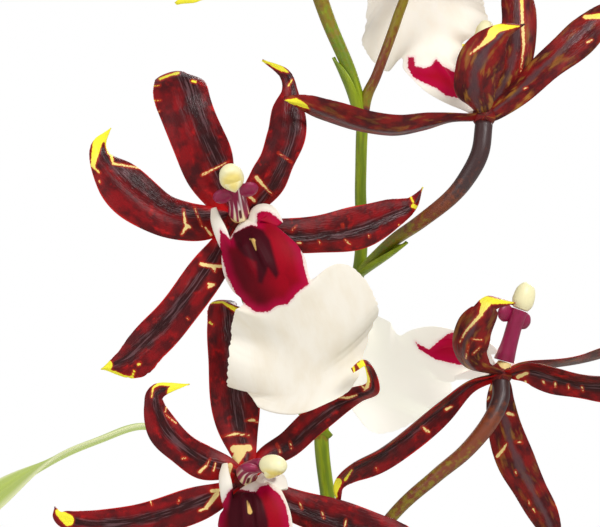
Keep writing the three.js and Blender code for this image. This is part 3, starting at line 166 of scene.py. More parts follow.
# Pale marks on the tepals, as strokes through points in the photo's pixels: across, down, half width
MARKS_SEEN = {
    "a": {
        "dorsal": [
            [(202, 175, 1.2), (229, 161.5, 0.4)], [(152, 86, 0.6), (160, 85.5, 0.4)],
            [(152, 100.6, 0.7), (160.5, 100.4, 0.4)], [(156, 113, 0.4), (160, 111, 0.3)],
            [(195.5, 82, 1.3), (192, 81, 1.2)], [(160, 79, 1.3), (170, 75, 1)],
            [(170, 75, 0.9), (178, 73, 1.6)],
        ],
        "petal_left": [
            [(93, 165, 2.4), (98, 140, 5), (108, 134, 4), (117, 125, 3)],
            [(108, 140, 4), (110, 152, 3)], [(110, 150, 2.2), (113, 163, 1)],
            [(113, 163.5, 1.1), (142, 168.5, 0.8)], [(92.6, 166.5, 0.8), (99.5, 172.5, 1)],
            [(99.5, 181, 1), (100.5, 183, 0.6)], [(183.4, 209, 0.5), (185, 222, 1.6)],
            [(187, 226, 2.2), (190.5, 227.5, 0.8)], [(187, 226, 2), (181.7, 234.5, 0.9)],
            [(194.6, 207.8, 0.5), (201.9, 225.9, 0.5)], [(205.4, 227.6, 0.9), (211, 235, 1.2)],
        ],
        "sepal_left": [
            [(99, 368, 3), (107, 365, 5.5)], [(104, 372, 5), (119, 377, 4)],
            [(119, 378, 4), (132, 379, 2.5)], [(132, 378, 1.5), (134, 371, 1.2)],
            [(138.5, 364.6, 1.6), (140, 363, 1.2)], [(187, 317.5, 0.5), (189, 319.5, 0.4)],
            [(201, 264, 1.7), (208, 265.5, 1.7), (222.5, 266.5, 1.4)],
            [(213, 267, 1.6), (215, 271.5, 1)], [(209, 284, 1.6), (214.5, 284.6, 1)],
            [(208.5, 287.5, 1.2), (211, 286, 1.5)],
        ],
        "sepal_right": [
            [(291.5, 231, 0.45), (296.3, 225.7, 0.45)], [(298, 243, 1.1), (301, 243, 0.8)],
            [(318.8, 241, 0.7), (320.5, 244, 0.6)], [(342.5, 224.5, 0.7), (342.8, 227, 0.5)],
            [(345, 240, 0.8), (350, 244, 0.9)], [(369, 235.5, 0.9), (369.3, 237, 0.7)],
            [(398.5, 224.6, 0.5), (399, 225, 0.4)], [(411, 197.5, 1.2), (413.5, 203, 0.8)],
            [(413, 206, 2), (420, 209, 2)], [(421, 205, 2), (423.6, 199, 1.8)],
            [(423.8, 199, 1.8), (422.6, 184, 1.2)],
        ],
        "petal_right": [
            [(261, 61, 1), (271, 62.5, 2.3)], [(271, 62.5, 3), (282, 69, 2.5), (288, 72, 0.8)],
            [(288.5, 85.6, 0.7), (292.3, 79.9, 0.7)], [(256.5, 177.5, 2), (262, 184, 1.5)],
            [(262, 184, 1.4), (272, 194.5, 0.4)], [(278, 152.6, 0.5), (291.4, 162.2, 0.4)],
            [(249, 196, 1.5), (254.5, 201, 1.5)],
        ],
    },
    "b": {
        "dorsal": [
            [(211, 303, 0.8), (222, 302, 1.2), (238, 311, 2.4), (240, 318, 1)],
            [(209.5, 322, 1.2), (213, 325, 0.8)],
            [(245, 420.8, 0.3), (252, 419.8, 1.6), (258.2, 422.3, 0.5)],
            [(222, 436.6, 0.4), (235.8, 433.6, 1.4)], [(235.8, 433.6, 1.2), (249, 435.6, 0.8)],
            [(234, 449, 3.8), (249, 448, 3.4)], [(241, 452, 5), (226, 474, 4.5)],
        ],
        "petal_left": [
            [(190, 383.6, 0.8), (176, 386, 5), (172, 392, 5)], [(172, 392, 4.5), (170, 399, 1.5)],
            [(176, 383.5, 3.5), (160, 382.5, 2.5)], [(160, 382.5, 2), (153, 388, 1), (151.7, 397, 0.5)],
            [(169, 400, 0.8), (165, 412, 0.5)], [(166, 415, 0.6), (176, 423, 0.6)],
            [(182.5, 458.3, 1), (185.5, 458.3, 1)], [(199.5, 472.3, 1.5), (206, 466, 1.3)],
            [(206, 466, 1), (210, 459, 0.3)], [(213.4, 471, 0.9), (215.4, 463, 0.4)],
            [(224, 482, 3), (230, 466, 3)],
        ],
        "petal_right": [
            [(361.5, 361, 2.2), (365, 370, 2.2)], [(365, 370, 1.8), (368.8, 380, 1.6), (367, 387, 1.8)],
            [(367, 387, 1.6), (364, 390.5, 0.6)], [(359.3, 383.5, 0.6), (363.5, 387.5, 1)],
            [(353.5, 367, 1.2), (354.5, 373, 1)], [(358, 364, 1.5), (361, 368, 1.5)],
            [(336, 397.3, 0.4), (348, 397.8, 1.2)], [(348, 397.8, 1.4), (356.5, 395, 0.7)],
            [(304, 412, 1.2), (307.5, 408.5, 0.8)], [(276.8, 444, 0.5), (280.4, 452, 0.9)],
            [(290, 441.5, 0.6), (291.5, 448, 0.8)],
        ],
        "sepal_left": [
            [(212, 491, 2), (220, 490, 1.5)], [(217, 494, 2.5), (207, 507, 2)],
            [(207, 508, 1.5), (199, 511, 1)], [(58, 512, 3), (68, 520, 6)],
            [(150, 500, 0.7), (152, 505, 0.6)], [(178, 503, 0.7), (180, 498, 0.6)],
        ],
        "sepal_right": [
            [(300, 503, 0.7), (302, 509, 0.7)], [(322, 512, 0.8), (324, 518, 0.6)],
            [(346, 520, 0.8), (345, 526, 0.8)], [(414, 546, 5), (404, 545, 3)],
        ],
    },
    "c": {
        "hooked": [
            [(514.5, 303, 0.6), (484, 300, 4.5)], [(486, 303, 5), (481.5, 312, 2.2)],
            [(481.5, 314, 1.8), (466, 331, 1.1)], [(466, 331, 1), (460, 342, 0.6)],
            [(472, 339, 0.5), (482, 340, 0.6)], [(466, 358, 0.7), (468, 345, 0.6)],
            [(473, 354, 0.6), (480, 347, 0.5)],
        ],
        "near_left": [
            [(446, 409.5, 1.6), (452, 406.5, 0.8)], [(422, 427, 1), (428.5, 432, 1.6)],
            [(376, 468, 0.8), (378, 471, 0.6)], [(338, 482, 4), (334, 490, 4)],
            [(334, 490, 3), (336, 497, 1.5)], [(345, 480, 1.4), (352, 470, 0.8)],
        ],
        "down": [
            [(508, 413.5, 1.7), (514, 415, 1.2)], [(516, 442, 0.7), (522, 442.5, 0.9)],
            [(497, 456.5, 1.6), (503, 450, 1.4), (506.5, 444, 0.9)],
            [(515.5, 471, 0.8), (516.3, 475, 0.6)], [(529, 501, 0.8), (529.5, 505, 0.6)],
            [(533, 509, 0.9), (535, 512, 0.7)], [(491.3, 386, 1), (490.5, 390, 1)],
            [(489, 397, 1), (487.5, 400, 0.8)], [(557, 505, 1.2), (560, 511, 1.6)],
            [(556, 560, 4), (560, 552, 5)],
        ],
        "right": [
            [(518, 377, 2), (527, 373, 1.6)], [(525, 381, 0.9), (526.5, 382.5, 0.7)],
            [(543, 381, 0.9), (544.5, 384, 0.8)], [(555, 383, 1), (555.5, 387, 0.8)],
            [(568, 385, 0.7), (569, 389, 0.6)], [(582, 387, 0.8), (583, 391, 0.6)],
            [(658, 362, 2), (650, 366, 4)],
        ],
        "far_right": [
            [(560, 370, 0.8), (561, 374, 0.6)], [(600, 366, 0.8), (602, 370, 0.6)],
            [(668, 342, 2), (660, 345, 4)],
        ],
    },
    "d": {
        "near": [
            [(519.5, 26.2, 0.5), (497, 28, 4.5), (492, 33, 4.5)], [(492, 35, 4), (483, 44, 2)],
            [(483, 44, 1.8), (470, 54, 0.8)],
        ],
        "upright": [
            [(521.6, 0, 1.6), (523.7, 45, 1.4)], [(523.7, 45, 1.3), (520.6, 72, 0.5)],
            [(524, -28, 3), (521, -20, 5)],
        ],
        "right": [
            [(587, 42.5, 1), (592, 40, 0.8)], [(524.5, 88.5, 0.9), (527, 87.5, 0.6)],
            [(585, 17, 2), (604, 16, 3), (622, 12, 2)],
        ],
        "long_left": [
            [(284, 101.6, 1.5), (296, 101.5, 3.5), (305, 106, 2.5)], [(305, 106, 2), (309, 109, 0.5)],
        ],
    },
}

# Outlines of the lip's markings in the photo's pixels. Spots are strokes.
LIP_SEEN = {
    "a": {
        "throat": [
            (220, 229), (220, 250), (227, 276), (236, 294), (247, 306), (255, 312), (268, 312),
            (277, 306), (288, 304), (297, 293), (309, 284), (305, 271), (301, 250), (291, 231),
            (280, 220), (270, 212), (262, 211), (257, 214), (257, 226), (251, 225), (243, 228),
            (233, 234), (231, 240), (226, 235),
        ],
        "callus": [
            (232, 234), (243, 228), (252, 225), (263, 230), (270, 240), (279, 274), (276, 279),
            (268, 268), (262, 284), (258, 282), (256, 262), (244, 256), (236, 246),
        ],
        "spot": [
            [(253, 240, 1.8), (256, 250, 0.8)], [(250, 239, 0.8), (255, 240, 0.8)],
        ],
    },
    "b": {
        "throat": [
            (229, 491), (233, 488), (256, 492), (260, 486), (268, 484.5), (280, 495), (286, 506),
            (289, 520), (291, 538), (287, 554), (277, 567), (264, 574), (250, 576), (236, 571),
            (225, 561), (218, 546), (216, 527), (219, 508),
        ],
        "callus": [
            (231, 490), (256, 492), (262, 500), (268, 520), (270, 545), (262, 550), (255, 535),
            (246, 535), (238, 550), (231, 545), (228, 515),
        ],
        "spot": [
            [(247.5, 501, 0.8), (250, 512, 2.5)],
        ],
    },
    "c": {
        "throat": [
            (415, 341), (421, 345.5), (429, 349.5), (438, 341.5), (447, 334.5), (457, 331), (470, 332),
            (482, 340), (482, 362), (460, 365), (446, 362), (436, 359.5), (425.5, 353.5), (419, 349.5),
        ],
    },
    "d": {
        "throat": [
            (408, 57), (414, 57), (415, 66), (424, 68), (431, 66), (436, 59), (443, 66), (452, 71),
            (470, 80), (470, 100), (447, 96), (436, 88), (424, 83), (413, 77), (408, 68),
        ],
    },
}
LIP_LIT = {"c": 1, "d": 0.3}  # how much paler a lip is that the light shines through

# Soft patches: their scale, its part lengthwise, and the noise at which a patch begins and is full
PATCHES = {
    "petal": (0.3, 0.75, 0.36, 0.62),
    "petal_bright": (0.45, 0.7, 0.55, 0.77),
    "petal_dusk": (0.14, 0.8, 0.48, 0.62),
    "petal_margin": (0.12, 1.0, 0.44, 0.52),
    "petal_back": (0.4, 0.5, 0.35, 0.65),
    "petal_marbling": (0.7, 0.25, 0.5, 0.68),
    "lip": (0.2, 0.5, 0.35, 0.7),
    "throat": (0.25, 0.5, 0.4, 0.65),
    "stem": (0.4, 0.2, 0.35, 0.7),
    "leaf": (0.08, 0.3, 0.35, 0.7),
    "root": (0.5, 0.5, 0.35, 0.65),
    "clay": (0.05, 1.0, 0.3, 0.7),
    "clay_salts": (0.035, 1.6, 0.54, 0.78),
    "bud": (0.5, 0.4, 0.35, 0.65),
}
PATCH_NUMBERS = ("Scale", "Along", "Low", "High")

# Lines, widths and turns of the pieces, as they are in the solids

BULBS = {
    "oldest": {"foot": [-33, 90, -12], "top": [-38, 144, -16], "wide": 13, "deep": 8.5},
    "second": {"foot": [-8, 90, -18], "top": [-10, 152, -21], "wide": 14, "deep": 9},
    "lead": {"foot": [17, 90, -9], "top": [19, 160, -10], "wide": 15, "deep": 9.5},
    "shoot": {"foot": [38, 90, 2], "top": [42, 118, 3], "wide": 6.5, "deep": 5.5},
}
RHIZOME_LINE = [[-41, 86, -15], [-33, 88, -12], [-8, 88, -18], [17, 88, -9], [38, 88, 2], [44, 86, 5]]
ROOTS = [
    [[-31, 88, -11], [-33, 95, 6], [-32, 96, 20], [-24, 94, 33], [-14, 87, 40]],
    [[-6, 88, -16], [-9, 96, -2], [-5, 96.5, 12], [3, 95.5, 25], [6, 88, 38]],
    [[22, 88, -6], [29, 95, 9], [31, 95.5, 21], [27, 92, 31], [19, 85, 40]],
]
# The leaf that is painted paler, with a painted glow.
PALE_GLOW_LEAF = "seen_left"
LEAF_HALF = [3.2, 6, 9.5, 12, 13, 12.5, 10.5, 6.5, 0]
LEAF_CUP = [75, 60, 40, 28, 22, 18, 15, 12, 10]
LEAF_SIZE = {
    "sheath_front": 0.8,
    "sheath_back": 0.8,
    "sheath_left": 0.75,
    "shoot_outer": 0.62,
    "shoot_inner": 0.66,
}
LEAVES = {
    "seen_left": {
        "spine": [
            [-12.4, 152.6, -21.6], [-8, 210, -42], [-9, 265, -56], [-13, 305, -63], [-19, 331, -65],
            [-26, 349, -65], [-36, 357, -64], [-47, 361.2, -63], [-58, 358, -61.5],
            [-69.7, 352.8, -60], [-84, 343.2, -58], [-104, 326, -54], [-126, 290, -47],
        ],
        "face": [1, 0.1, 0],
        "roll": [0, 0, 0, 0, 2, 4, 6, 8, 9.5, 9, -14, -30, -40],
        "cup": [75, 55, 32, 18, 10, 5, 3, 2, 2, 2, 4, 6, 8],
    },
    "back_right": {
        "spine": [
            [-7.4, 152.6, -20.6], [9, 205, -40], [30, 255, -62], [60, 290, -80], [97, 305, -94],
            [134, 296, -104], [158, 268, -110],
        ],
        "face": [-0.8, 0.1, 0.8],
    },
    "front_right": {
        "spine": [
            [20.6, 160.6, -7.5], [36, 215, 8], [58, 258, 22], [89, 283, 36], [122, 286, 48],
            [151, 270, 58], [170, 242, 64],
        ],
        "face": [-0.9, 0.1, -0.45],
    },
    "low_right": {
        "spine": [
            [20.2, 160.6, -12.6], [37, 200, -30], [64, 230, -44], [97, 242, -57], [130, 233, -68],
            [154, 208, -76],
        ],
        "face": [-0.9, 0.1, 0.5],
    },
    "far_left": {
        "spine": [
            [-39, 144.6, -18.6], [-53, 190, -14], [-73, 232, -6], [-103, 257, 4], [-134, 258, 12],
            [-161, 238, 18], [-178, 208, 22],
        ],
        "face": [1, 0.1, -0.2],
    },
    "front_left": {
        "spine": [
            [-37.6, 144.6, -13.4], [-43, 182, 12], [-57, 216, 34], [-80, 238, 56], [-107, 241, 76],
            [-132, 222, 92],
        ],
        "face": [0.6, 0.1, -0.9],
    },
    "sheath_front": {
        "spine": [
            [23.4, 93, -2.8], [26.4, 99, -0.4], [30.5, 111, 7], [38, 130, 23], [52, 158, 43],
            [77, 176, 62], [104, 176, 80], [127, 158, 94],
        ],
        "face": [-0.6, 0.1, -0.9],
    },
    "sheath_back": {
        "spine": [
            [-37.9, 93, -19.6], [-40.6, 99.5, -24.8], [-44, 112, -33], [-51, 132, -46],
            [-67, 164, -62], [-93, 184, -82], [-122, 176, -100],
        ],
        "face": [0.6, 0.1, 0.9],
    },
    "sheath_left": {
        "spine": [
            [-12.8, 93, -11.4], [-14.8, 99.5, -8], [-18.4, 112, 0.6], [-26, 134, 18], [-40, 161, 38],
            [-60, 180, 58], [-83, 178, 78], [-101, 160, 96],
        ],
        "face": [0.4, 0.1, -1],
    },
    "shoot_outer": {
        "spine": [
            [46.2, 92, 2.6], [47.9, 100, 3.2], [50.6, 116, 5], [55, 140, 9], [66, 172, 16],
            [81, 196, 24], [99, 208, 31],
        ],
        "face": [-1, 0.1, -0.4],
    },
    "shoot_inner": {
        "spine": [[42, 118.5, 3], [43, 150, 1], [40, 190, -5], [32, 226, -13], [20, 254, -22]],
        "face": [1, 0.1, 0.3],
    },
}
STEM = [
    [9.5, 84, -1.5], [7, 98, 3.5], [-3, 150, 12], [-9, 210, 9], [-8, 265, 3], [-5.5, 314, 0],
    [-1.5, 331.5, 0], [-3.7, 347.7, 0], [-5.1, 364.7, 0], [-1.1, 382, 0], [3.3, 400.3, 0],
    [3.4, 418, 1.5], [4.1, 434, 4.5], [7, 441.6, 6.5], [11.2, 453.2, 8.5], [13.2, 461, 9],
    [11.2, 474, 9], [13, 484, 8.5], [12, 493, 8],
]
STEM_RADIUS = [
    3, 2.6, 2.4, 2.2, 1.9, 1.75, 1.7, 1.6, 1.6, 1.4, 1.4, 1.25, 1.3, 1.1, 1.1, 1, 0.9, 0.8, 0.7,
]
STALK_RADIUS = {"bloom": [1.2, 1.45, 1.7, 1.95, 1.9], "bud": [0.8, 0.95, 1.1]}
STALKS = {
    "a": [
        [-5, 363.5, 0], [-11.6, 373.5, 6], [-18.1, 385.6, 12], [-22.4, 397.5, 17], [-23.6, 405, 21.5],
        [-23.2, 409, 26],
    ],
    "b": [
        [-5.5, 312, 0], [-13.2, 323.5, 8], [-18.1, 333.9, 14], [-20.6, 345, 18], [-21.4, 351, 20],
        [-21.4, 354, 22],
    ],
    "c": [
        [-1.5, 329, 0], [10.7, 345.1, 3], [19.6, 353.4, 5], [26.1, 358.8, 5], [31.2, 364.7, 4],
        [34, 370, 2], [34.3, 374, 0],
    ],
    "d": [
        [3.2, 398, 0], [10.1, 404.7, 8], [15.9, 408.9, 15], [22.2, 414, 20], [25.9, 418.6, 22],
        [28.5, 423.8, 22], [29.4, 430, 20.5],
    ],
    "e": [
        [4.1, 432, 4.4], [1.1, 441.6, 5.5], [-3.9, 453.4, 6], [-8, 466, 8], [-10.2, 476, 11],
        [-10.4, 484, 14],
    ],
    "f": [
        [13.2, 460, 9], [19, 470, 4], [24.5, 481, -3], [27.6, 490.4, -5.6], [29.6, 497.6, -8.8],
        [32.4, 501.6, -12.6],
    ],
    "bud_low": [[11.2, 473, 9], [8, 481, 4], [3.5, 489, -1], [1, 496, -4]],
    "bud_mid": [[13, 483, 8.5], [18, 490, 9], [21, 497, 10]],
    "bud_top": [[12, 492, 8], [11.5, 498, 7.6], [11.8, 503, 7.6]],
}
BRACT = {"half": [2.4, 3, 2.2, 0], "cup": 75, "thick": 0.8, "brown": -0.6}

# How brown the stem and its stalks are: 0.3 olive, 0.8 red-brown, 1.5 nearly black
STEM_BROWN = [0, 0, 0, 0, 0, 0, 0, 0, 0, 0, 0, 0, 0.25, 0.95, 0.55, 0.6, 0.7, 0.8, 0.8]
STALK_BROWN = {
    "a": [0, 0.3, 0.6, 0.9, 1.2, 1.3],
    "b": [0, 0.3, 0.6, 0.9, 1.2, 1.3],
    "c": [0.5, 0.7, 0.8, 0.9, 1.1, 1.6, 1.7],
    "d": [-0.1, 0.35, 0.8, 1.2, 1.6, 1.7, 1.7],
    "e": [-0.1, 0.1, 0.35, 0.8, 1.1, 1.3],
    "f": [0.5, 0.7, 0.9, 1.1, 1.3, 1.3],
}
BUD_STALK_BROWN = 0.8
JOINT = {"heights": [331, 362, 396.5, 433.4], "brown": [0.5, 0.5, 0.5, 1.4], "wide": 0.8}
BRACTS = {
    "a": {
        "spine": [[-4.4, 361.4, 0], [-9.6, 367, 3.4], [-13.4, 373, 7.4], [-17, 380, 10.6]],
        "face": [0.8, 0.5, -0.5],
    },
    "d": {
        "spine": [[1.8, 396, 0.4], [5.6, 398.8, 4], [9.8, 401.8, 8.4], [13.2, 404.6, 12.4]],
        "face": [-0.5, 0.8, 0.2],
    },
    "e": {
        "spine": [[2.6, 431, 4.4], [0.8, 437, 5], [-1, 441.5, 5.4], [-2.6, 445, 5.8]],
        "face": [0.9, 0.4, 0],
    },
}
TEPAL_WAVE = {"wave": 0.5, "waves": 2}
BLOOMS = {
    "a": {
        "centre": [-23, 409.6, 28],
        "tepals": {
            "dorsal": {
                "spine": [
                    [-1, 0.5, 0], [-3.4, 3, 0.6], [-6.3, 9.1, 2.5], [-9.1, 16.5, 4],
                    [-11.6, 23.9, 3.5], [-13.4, 28.9, 0.5], [-14.6, 30.6, -4],
                ],
                "half": [1.6, 3, 5.4, 6.2, 5.9, 5.7, 3.6],
                "lean": [0, 0.06, 0.15, 0.12, 0.1, 0.07, 0],
                "shade": 0.42,
                "cup": -28,
            },
            "petal_left": {
                "spine": [
                    [-1.5, 0, 0], [-5.1, -0.8, 1], [-10.1, -0.8, 3], [-15.4, 0.6, 5], [-20.7, 4.2, 6],
                    [-25.3, 8.4, 6], [-28.5, 12.2, 5], [-29, 15.4, 4], [-26.6, 18.8, 3.5],
                ],
                "half": [1.8, 3.4, 4.2, 4.9, 5.3, 4.6, 2.8, 1.6, 0],
                "shade": 0.4,
                "cup": -22,
            },
            "petal_right": {
                "spine": [
                    [1, 0.8, 0], [3.6, 4.4, 1], [6.3, 8, 2.5], [8.4, 12.2, 3.5], [10.1, 17.5, 3.5],
                    [10.6, 22.8, 2], [11, 27, 0], [9.7, 30.6, -1], [5.1, 33.4, -1],
                ],
                "half": [1.6, 3.4, 4.2, 3.7, 4.1, 3.8, 1.8, 1.2, 0],
                "shade": 0.35,
                "cup": -25,
            },
            "sepal_left": {
                "spine": [
                    [-0.5, -1, 0], [-2.5, -4.4, 0.4], [-5.1, -9.3, 1.2], [-9.1, -15.2, 2],
                    [-13.9, -21.1, 2.4], [-18.6, -25.8, 2], [-23.2, -29.6, 1], [-28.9, -31.9, 0],
                ],
                "half": [1.6, 2.4, 3.6, 4.2, 4.2, 4.1, 3.9, 0],
                "lean": [0, 0, 0, 0, 0, -0.08, -0.3, -0.3],
                "cup": -12,
            },
            "sepal_right": {
                "spine": [
                    [1, -1, 0], [4, -2.4, -0.4], [11, -3.6, -1.4], [18.4, -3.4, -3.4],
                    [25.8, -1.9, -6.4], [32.3, 0.8, -9.4], [37, 3, -11.4], [39.5, 6.8, -11.4],
                ],
                "half": [1.6, 2.4, 3.8, 4.2, 4.6, 3.6, 1.8, 0],
                "cup": -15,
            },
        },
        "lip": {
            "spine": [
                [0.6, -1.5, 2.6], [1.4, -2.2, 5.2], [2.6, -4.8, 7.8], [4.2, -8.6, 9.4],
                [6, -12.6, 9.8], [8, -16.6, 8.8], [10.2, -21, 7], [12.2, -26.4, 4.8], [13.2, -32, 3],
                [13.4, -37, 2], [12, -41.4, 1.4],
            ],
            "lean": [0, 0.16, 0.14, 0.06, 0, -0.07, -0.23, -0.18, -0.07, 0.14, 0.14],
            "slant": [0, 0, 0, 0, 0, -0.5, 0.7, 1.4, 3.1, 4.5, 3.1],
            "face": [-0.2, 0.3, 1],
        },
        "column": {
            "line": [[0.2, 1.5, 2.6], [0.1, 3, 4.8], [-0.3, 5, 7.6], [-0.7, 6.6, 9.6]],
            "face": [0.2, -0.7, 0.7],
        },
    },
    "b": {
        "centre": [-21.4, 354.4, 24],
        "tepals": {
            "dorsal": {
                "spine": [
                    [0, 1, 0], [-0.4, 4.9, -0.4], [-1.7, 11.3, -1.6], [-2.8, 18.7, -4],
                    [-3.6, 27.2, -7], [-4.3, 33.6, -9], [-4.6, 36.8, -11], [-3, 37, -14],
                ],
                "half": [1.6, 2.8, 4.5, 5.4, 5, 4.2, 3.8, 1],
                "cup": -20,
            },
            "petal_left": {
                "spine": [
                    [-1.2, 0.6, 0], [-4.5, 2.1, 0.6], [-9.1, 3.4, 2], [-13.4, 6.6, 4],
                    [-17.2, 10.6, 5], [-19.1, 15.5, 5.5], [-18.3, 18.7, 4.5], [-11.9, 20, 3],
                ],
                "half": [1.6, 2.8, 3.8, 3.6, 3.4, 2.4, 1.8, 0],
                "cup": -25,
            },
            "petal_right": {
                "spine": [
                    [1.2, 1.2, 0], [4.7, 4.6, -1.6], [9.4, 7.2, -3.6], [14, 11.3, -5.6],
                    [18.5, 14.9, -5.6], [23, 17.4, -1], [26.8, 19.6, 7], [25.4, 24.8, 11],
                    [22.4, 23.2, 11.6],
                ],
                "half": [1.4, 2.4, 3, 3, 2.8, 2, 1.7, 1.5, 0],
                "cup": -20,
            },
            "sepal_left": {
                "spine": [
                    [-1, -0.8, 0], [-3.4, -2.6, 0], [-9.8, -5.3, 0.4], [-17.2, -7.9, 1],
                    [-24.7, -9.6, 1.4], [-32.1, -10, 1], [-39.1, -8.5, 0.6], [-40.6, -6, 0.6],
                ],
                "half": [1.6, 2.2, 3.6, 4, 4, 3.2, 1.8, 0],
                "cup": -15,
            },
            "sepal_right": {
                "spine": [
                    [1, -1, 0], [4.7, -3, -0.4], [11.5, -6.4, -0.8], [18.9, -8.9, -1],
                    [26.4, -11, -1.4], [33.8, -13.2, -2], [39.5, -14.2, -3],
                ],
                "half": [1.6, 2.4, 3.8, 4.2, 4, 3, 0],
                "cup": -15,
            },
        },
        "lip": {
            "spine": [
                [0.4, -1.5, 2.6], [0.8, -1.5, 5.2], [1.2, -3, 8], [1.7, -7, 10], [2.2, -11.6, 10.2],
                [2.6, -16.4, 9], [3, -21.6, 6.6], [3.4, -27, 4.6], [3.8, -32.4, 3], [4, -37.4, 2],
                [4, -41.4, 1.4],
            ],
            "lean": [0, 0.1, 0.13, 0.13, 0.1, 0.04, 0, 0, 0, 0, 0],
            "size": 0.96,
            "face": [0, 0.3, 1],
        },
        "column": {
            "line": [[0.2, 1.5, 2.6], [1, 2.4, 5.4], [2.6, 3.2, 8.2], [4.2, 3.4, 10.4]],
            "face": [0, -1, 0.4],
        },
    },
    "c": {
        "centre": [34.3, 375.7, 0],
        "tepals": {
            "near_left": {
                "spine": [
                    [-0.6, -0.3, 0.4], [-2.6, -0.8, 0.8], [-7.3, -2.6, 2.4], [-13.4, -7.5, 5.4],
                    [-20.5, -12.8, 8.4], [-27, -17.2, 11.2], [-32.8, -20.2, 13.4], [-36, -23.3, 14.4],
                    [-35.9, -27, 14.4],
                ],
                "half": [1.4, 1.8, 2.8, 4, 4.6, 4.6, 3.6, 1.8, 0],
                "face": [0, -0.7, 0.7],
                "cup": 42,
            },
            "hooked": {
                "spine": [
                    [-0.5, 0.3, 0.8], [-1.9, 0.7, 2.8], [-5.7, 1.8, 5.6], [-7.9, 5.3, 9.2],
                    [-6.9, 9.7, 11.6], [-4.4, 13.4, 12.4], [-2.6, 16, 11.2], [2.4, 15.6, 8.6],
                ],
                "half": [1.4, 2.2, 3.6, 4.4, 4.2, 3.2, 2, 0],
                "face": [0.4, 0.6, -0.7],
                "cup": 30,
            },
            "down": {
                "spine": [
                    [0.2, -0.6, -0.8], [0.2, -2.6, -3], [0.2, -6.8, -4.4], [1.5, -13.4, -5.2],
                    [3.7, -20, -5.8], [6.6, -25.5, -6.4], [9.7, -31, -7.2], [12.1, -36.5, -8.2],
                    [13, -40, -8.4],
                ],
                "half": [1.4, 2.4, 3.4, 3.9, 4.2, 4, 3.6, 2, 0],
                "face": [0.1, 0, -1],
                "cup": 18,
            },
            "right": {
                "spine": [
                    [0.6, 0, 0], [2.4, 0.3, 0.8], [6.4, 0.9, 2.2], [12.1, -0.7, 4.2], [17.4, -1.8, 6],
                    [22.9, -2, 7], [28.4, -0.9, 7], [32.8, 1.3, 5.4],
                ],
                "half": [1.4, 2, 3.2, 4.2, 4.4, 4.2, 3, 0],
                "face": [0, -0.6, 0.8],
                "cup": 40,
            },
            "far_right": {
                "spine": [
                    [0.6, 0.4, -0.8], [2.6, 0.9, -2.6], [7.5, 1.3, -6.6], [13, 1.8, -12],
                    [18.5, 2.4, -17], [24, 3.5, -21], [29.5, 5.3, -24], [33.9, 7.5, -26],
                ],
                "half": [1.4, 2, 2.8, 4, 4.2, 3.8, 2.6, 0],
                "face": [0, 1, -0.5],
                "cup": 15,
            },
        },
        "lip": {
            "spine": [
                [-1.5, 1.8, -1.8], [-3.8, 3.8, -3.4], [-7.4, 5.6, -5.6], [-11, 6.2, -7.8],
                [-14.6, 5.4, -10], [-18, 3.8, -12.2], [-21.4, 1.6, -14.4], [-25.2, -0.6, -16.4],
                [-28.8, -2.6, -18], [-32, -4, -19], [-34.8, -4.6, -19.6],
            ],
            "size": 0.9,
            "face": [-0.1, 0.75, -0.66],
        },
        "column": {
            "line": [[0.9, 2.8, -0.4], [1.9, 6.6, -0.4], [3, 10.6, -0.4], [4.2, 14, -0.6]],
            "face": [-0.6, 0.1, -0.8],
        },
    },
    "d": {
        "centre": [29.4, 431.5, 20],
        "shoulders": 0,
        "tepals": {
            "long_left": {
                "spine": [
                    [-0.6, -0.2, 0.2], [-2.4, -0.5, 0.6], [-7.2, -0.6, 2], [-12.5, -1.7, 4],
                    [-18.9, -3, 6.6], [-25.9, -2.3, 9.6], [-32.7, 0, 12.4], [-38, 1.9, 14.4],
                    [-42.7, 3, 15.6],
                ],
                "half": [1.4, 1.8, 2.2, 3, 3.8, 4.2, 3.8, 2.4, 0],
                "face": [0, 0.85, -0.5],
                "cup": 25,
            },
            "near": {
                "spine": [
                    [-0.4, 0.4, 0.6], [-1, 2.4, 3.6], [-1.9, 5.2, 6.8], [-1.3, 10, 9.4],
                    [1.3, 14.7, 10.2], [4.2, 17.6, 9], [8.1, 19.1, 6],
                ],
                "half": [1.6, 3.2, 5.2, 5.4, 4, 2, 0],
                "face": [0.1, 0.1, -1],
                "cup": 38,
            },
            "upright": {
                "spine": [
                    [0.4, 0.6, -0.2], [1.7, 2.4, -0.8], [5.1, 7.7, -1.2], [7.2, 14, -2.2],
                    [7.9, 20.4, -3.4], [7.4, 26.8, -5.4], [6, 32, -8.4],
                ],
                "half": [1.4, 2, 3.4, 4, 4.2, 3.4, 0],
                "face": [0.1, 0.1, -1],
                "cup": 30,
            },
            "right": {
                "spine": [
                    [0.8, 0.2, 0], [2.3, 0.9, 0.3], [7.7, 5.1, 1], [13, 10.2, 1], [17.9, 14.5, 0],
                    [22.5, 18.7, -2], [27.2, 23, -4.4], [30.6, 25, -7],
                ],
                "half": [1.4, 1.8, 2.6, 3.4, 3.8, 3.6, 2.4, 0],
                "face": [0.1, -0.1, -1],
                "cup": 15,
            },
            "far": {
                "spine": [
                    [0.4, -0.4, -1], [1.4, -0.6, -3.6], [3.4, 1.6, -9], [3.8, 5.6, -16],
                    [2.6, 10.4, -23], [0.2, 15, -29.4], [-4, 18, -34.6],
                ],
                "half": [1.4, 2.2, 3.6, 4.2, 4, 3, 0],
                "face": [-0.6, 0.8, 0.2],
                "cup": 12,
            },
        },
        "lip": {
            "spine": [
                [-2.3, 0.9, -1.6], [-3.8, 3.4, -3.8], [-5.8, 7, -6.8], [-7.6, 10.2, -10],
                [-9.2, 13, -13], [-10.6, 16, -16], [-11.8, 20, -18.8], [-12.8, 24.8, -21.6],
                [-13.6, 29.6, -24], [-14.4, 34, -26], [-15, 37.6, -27.6],
            ],
            "cup": [0, -15, -32, -28, -22, -16, -10, -8, -8, -10, -10],
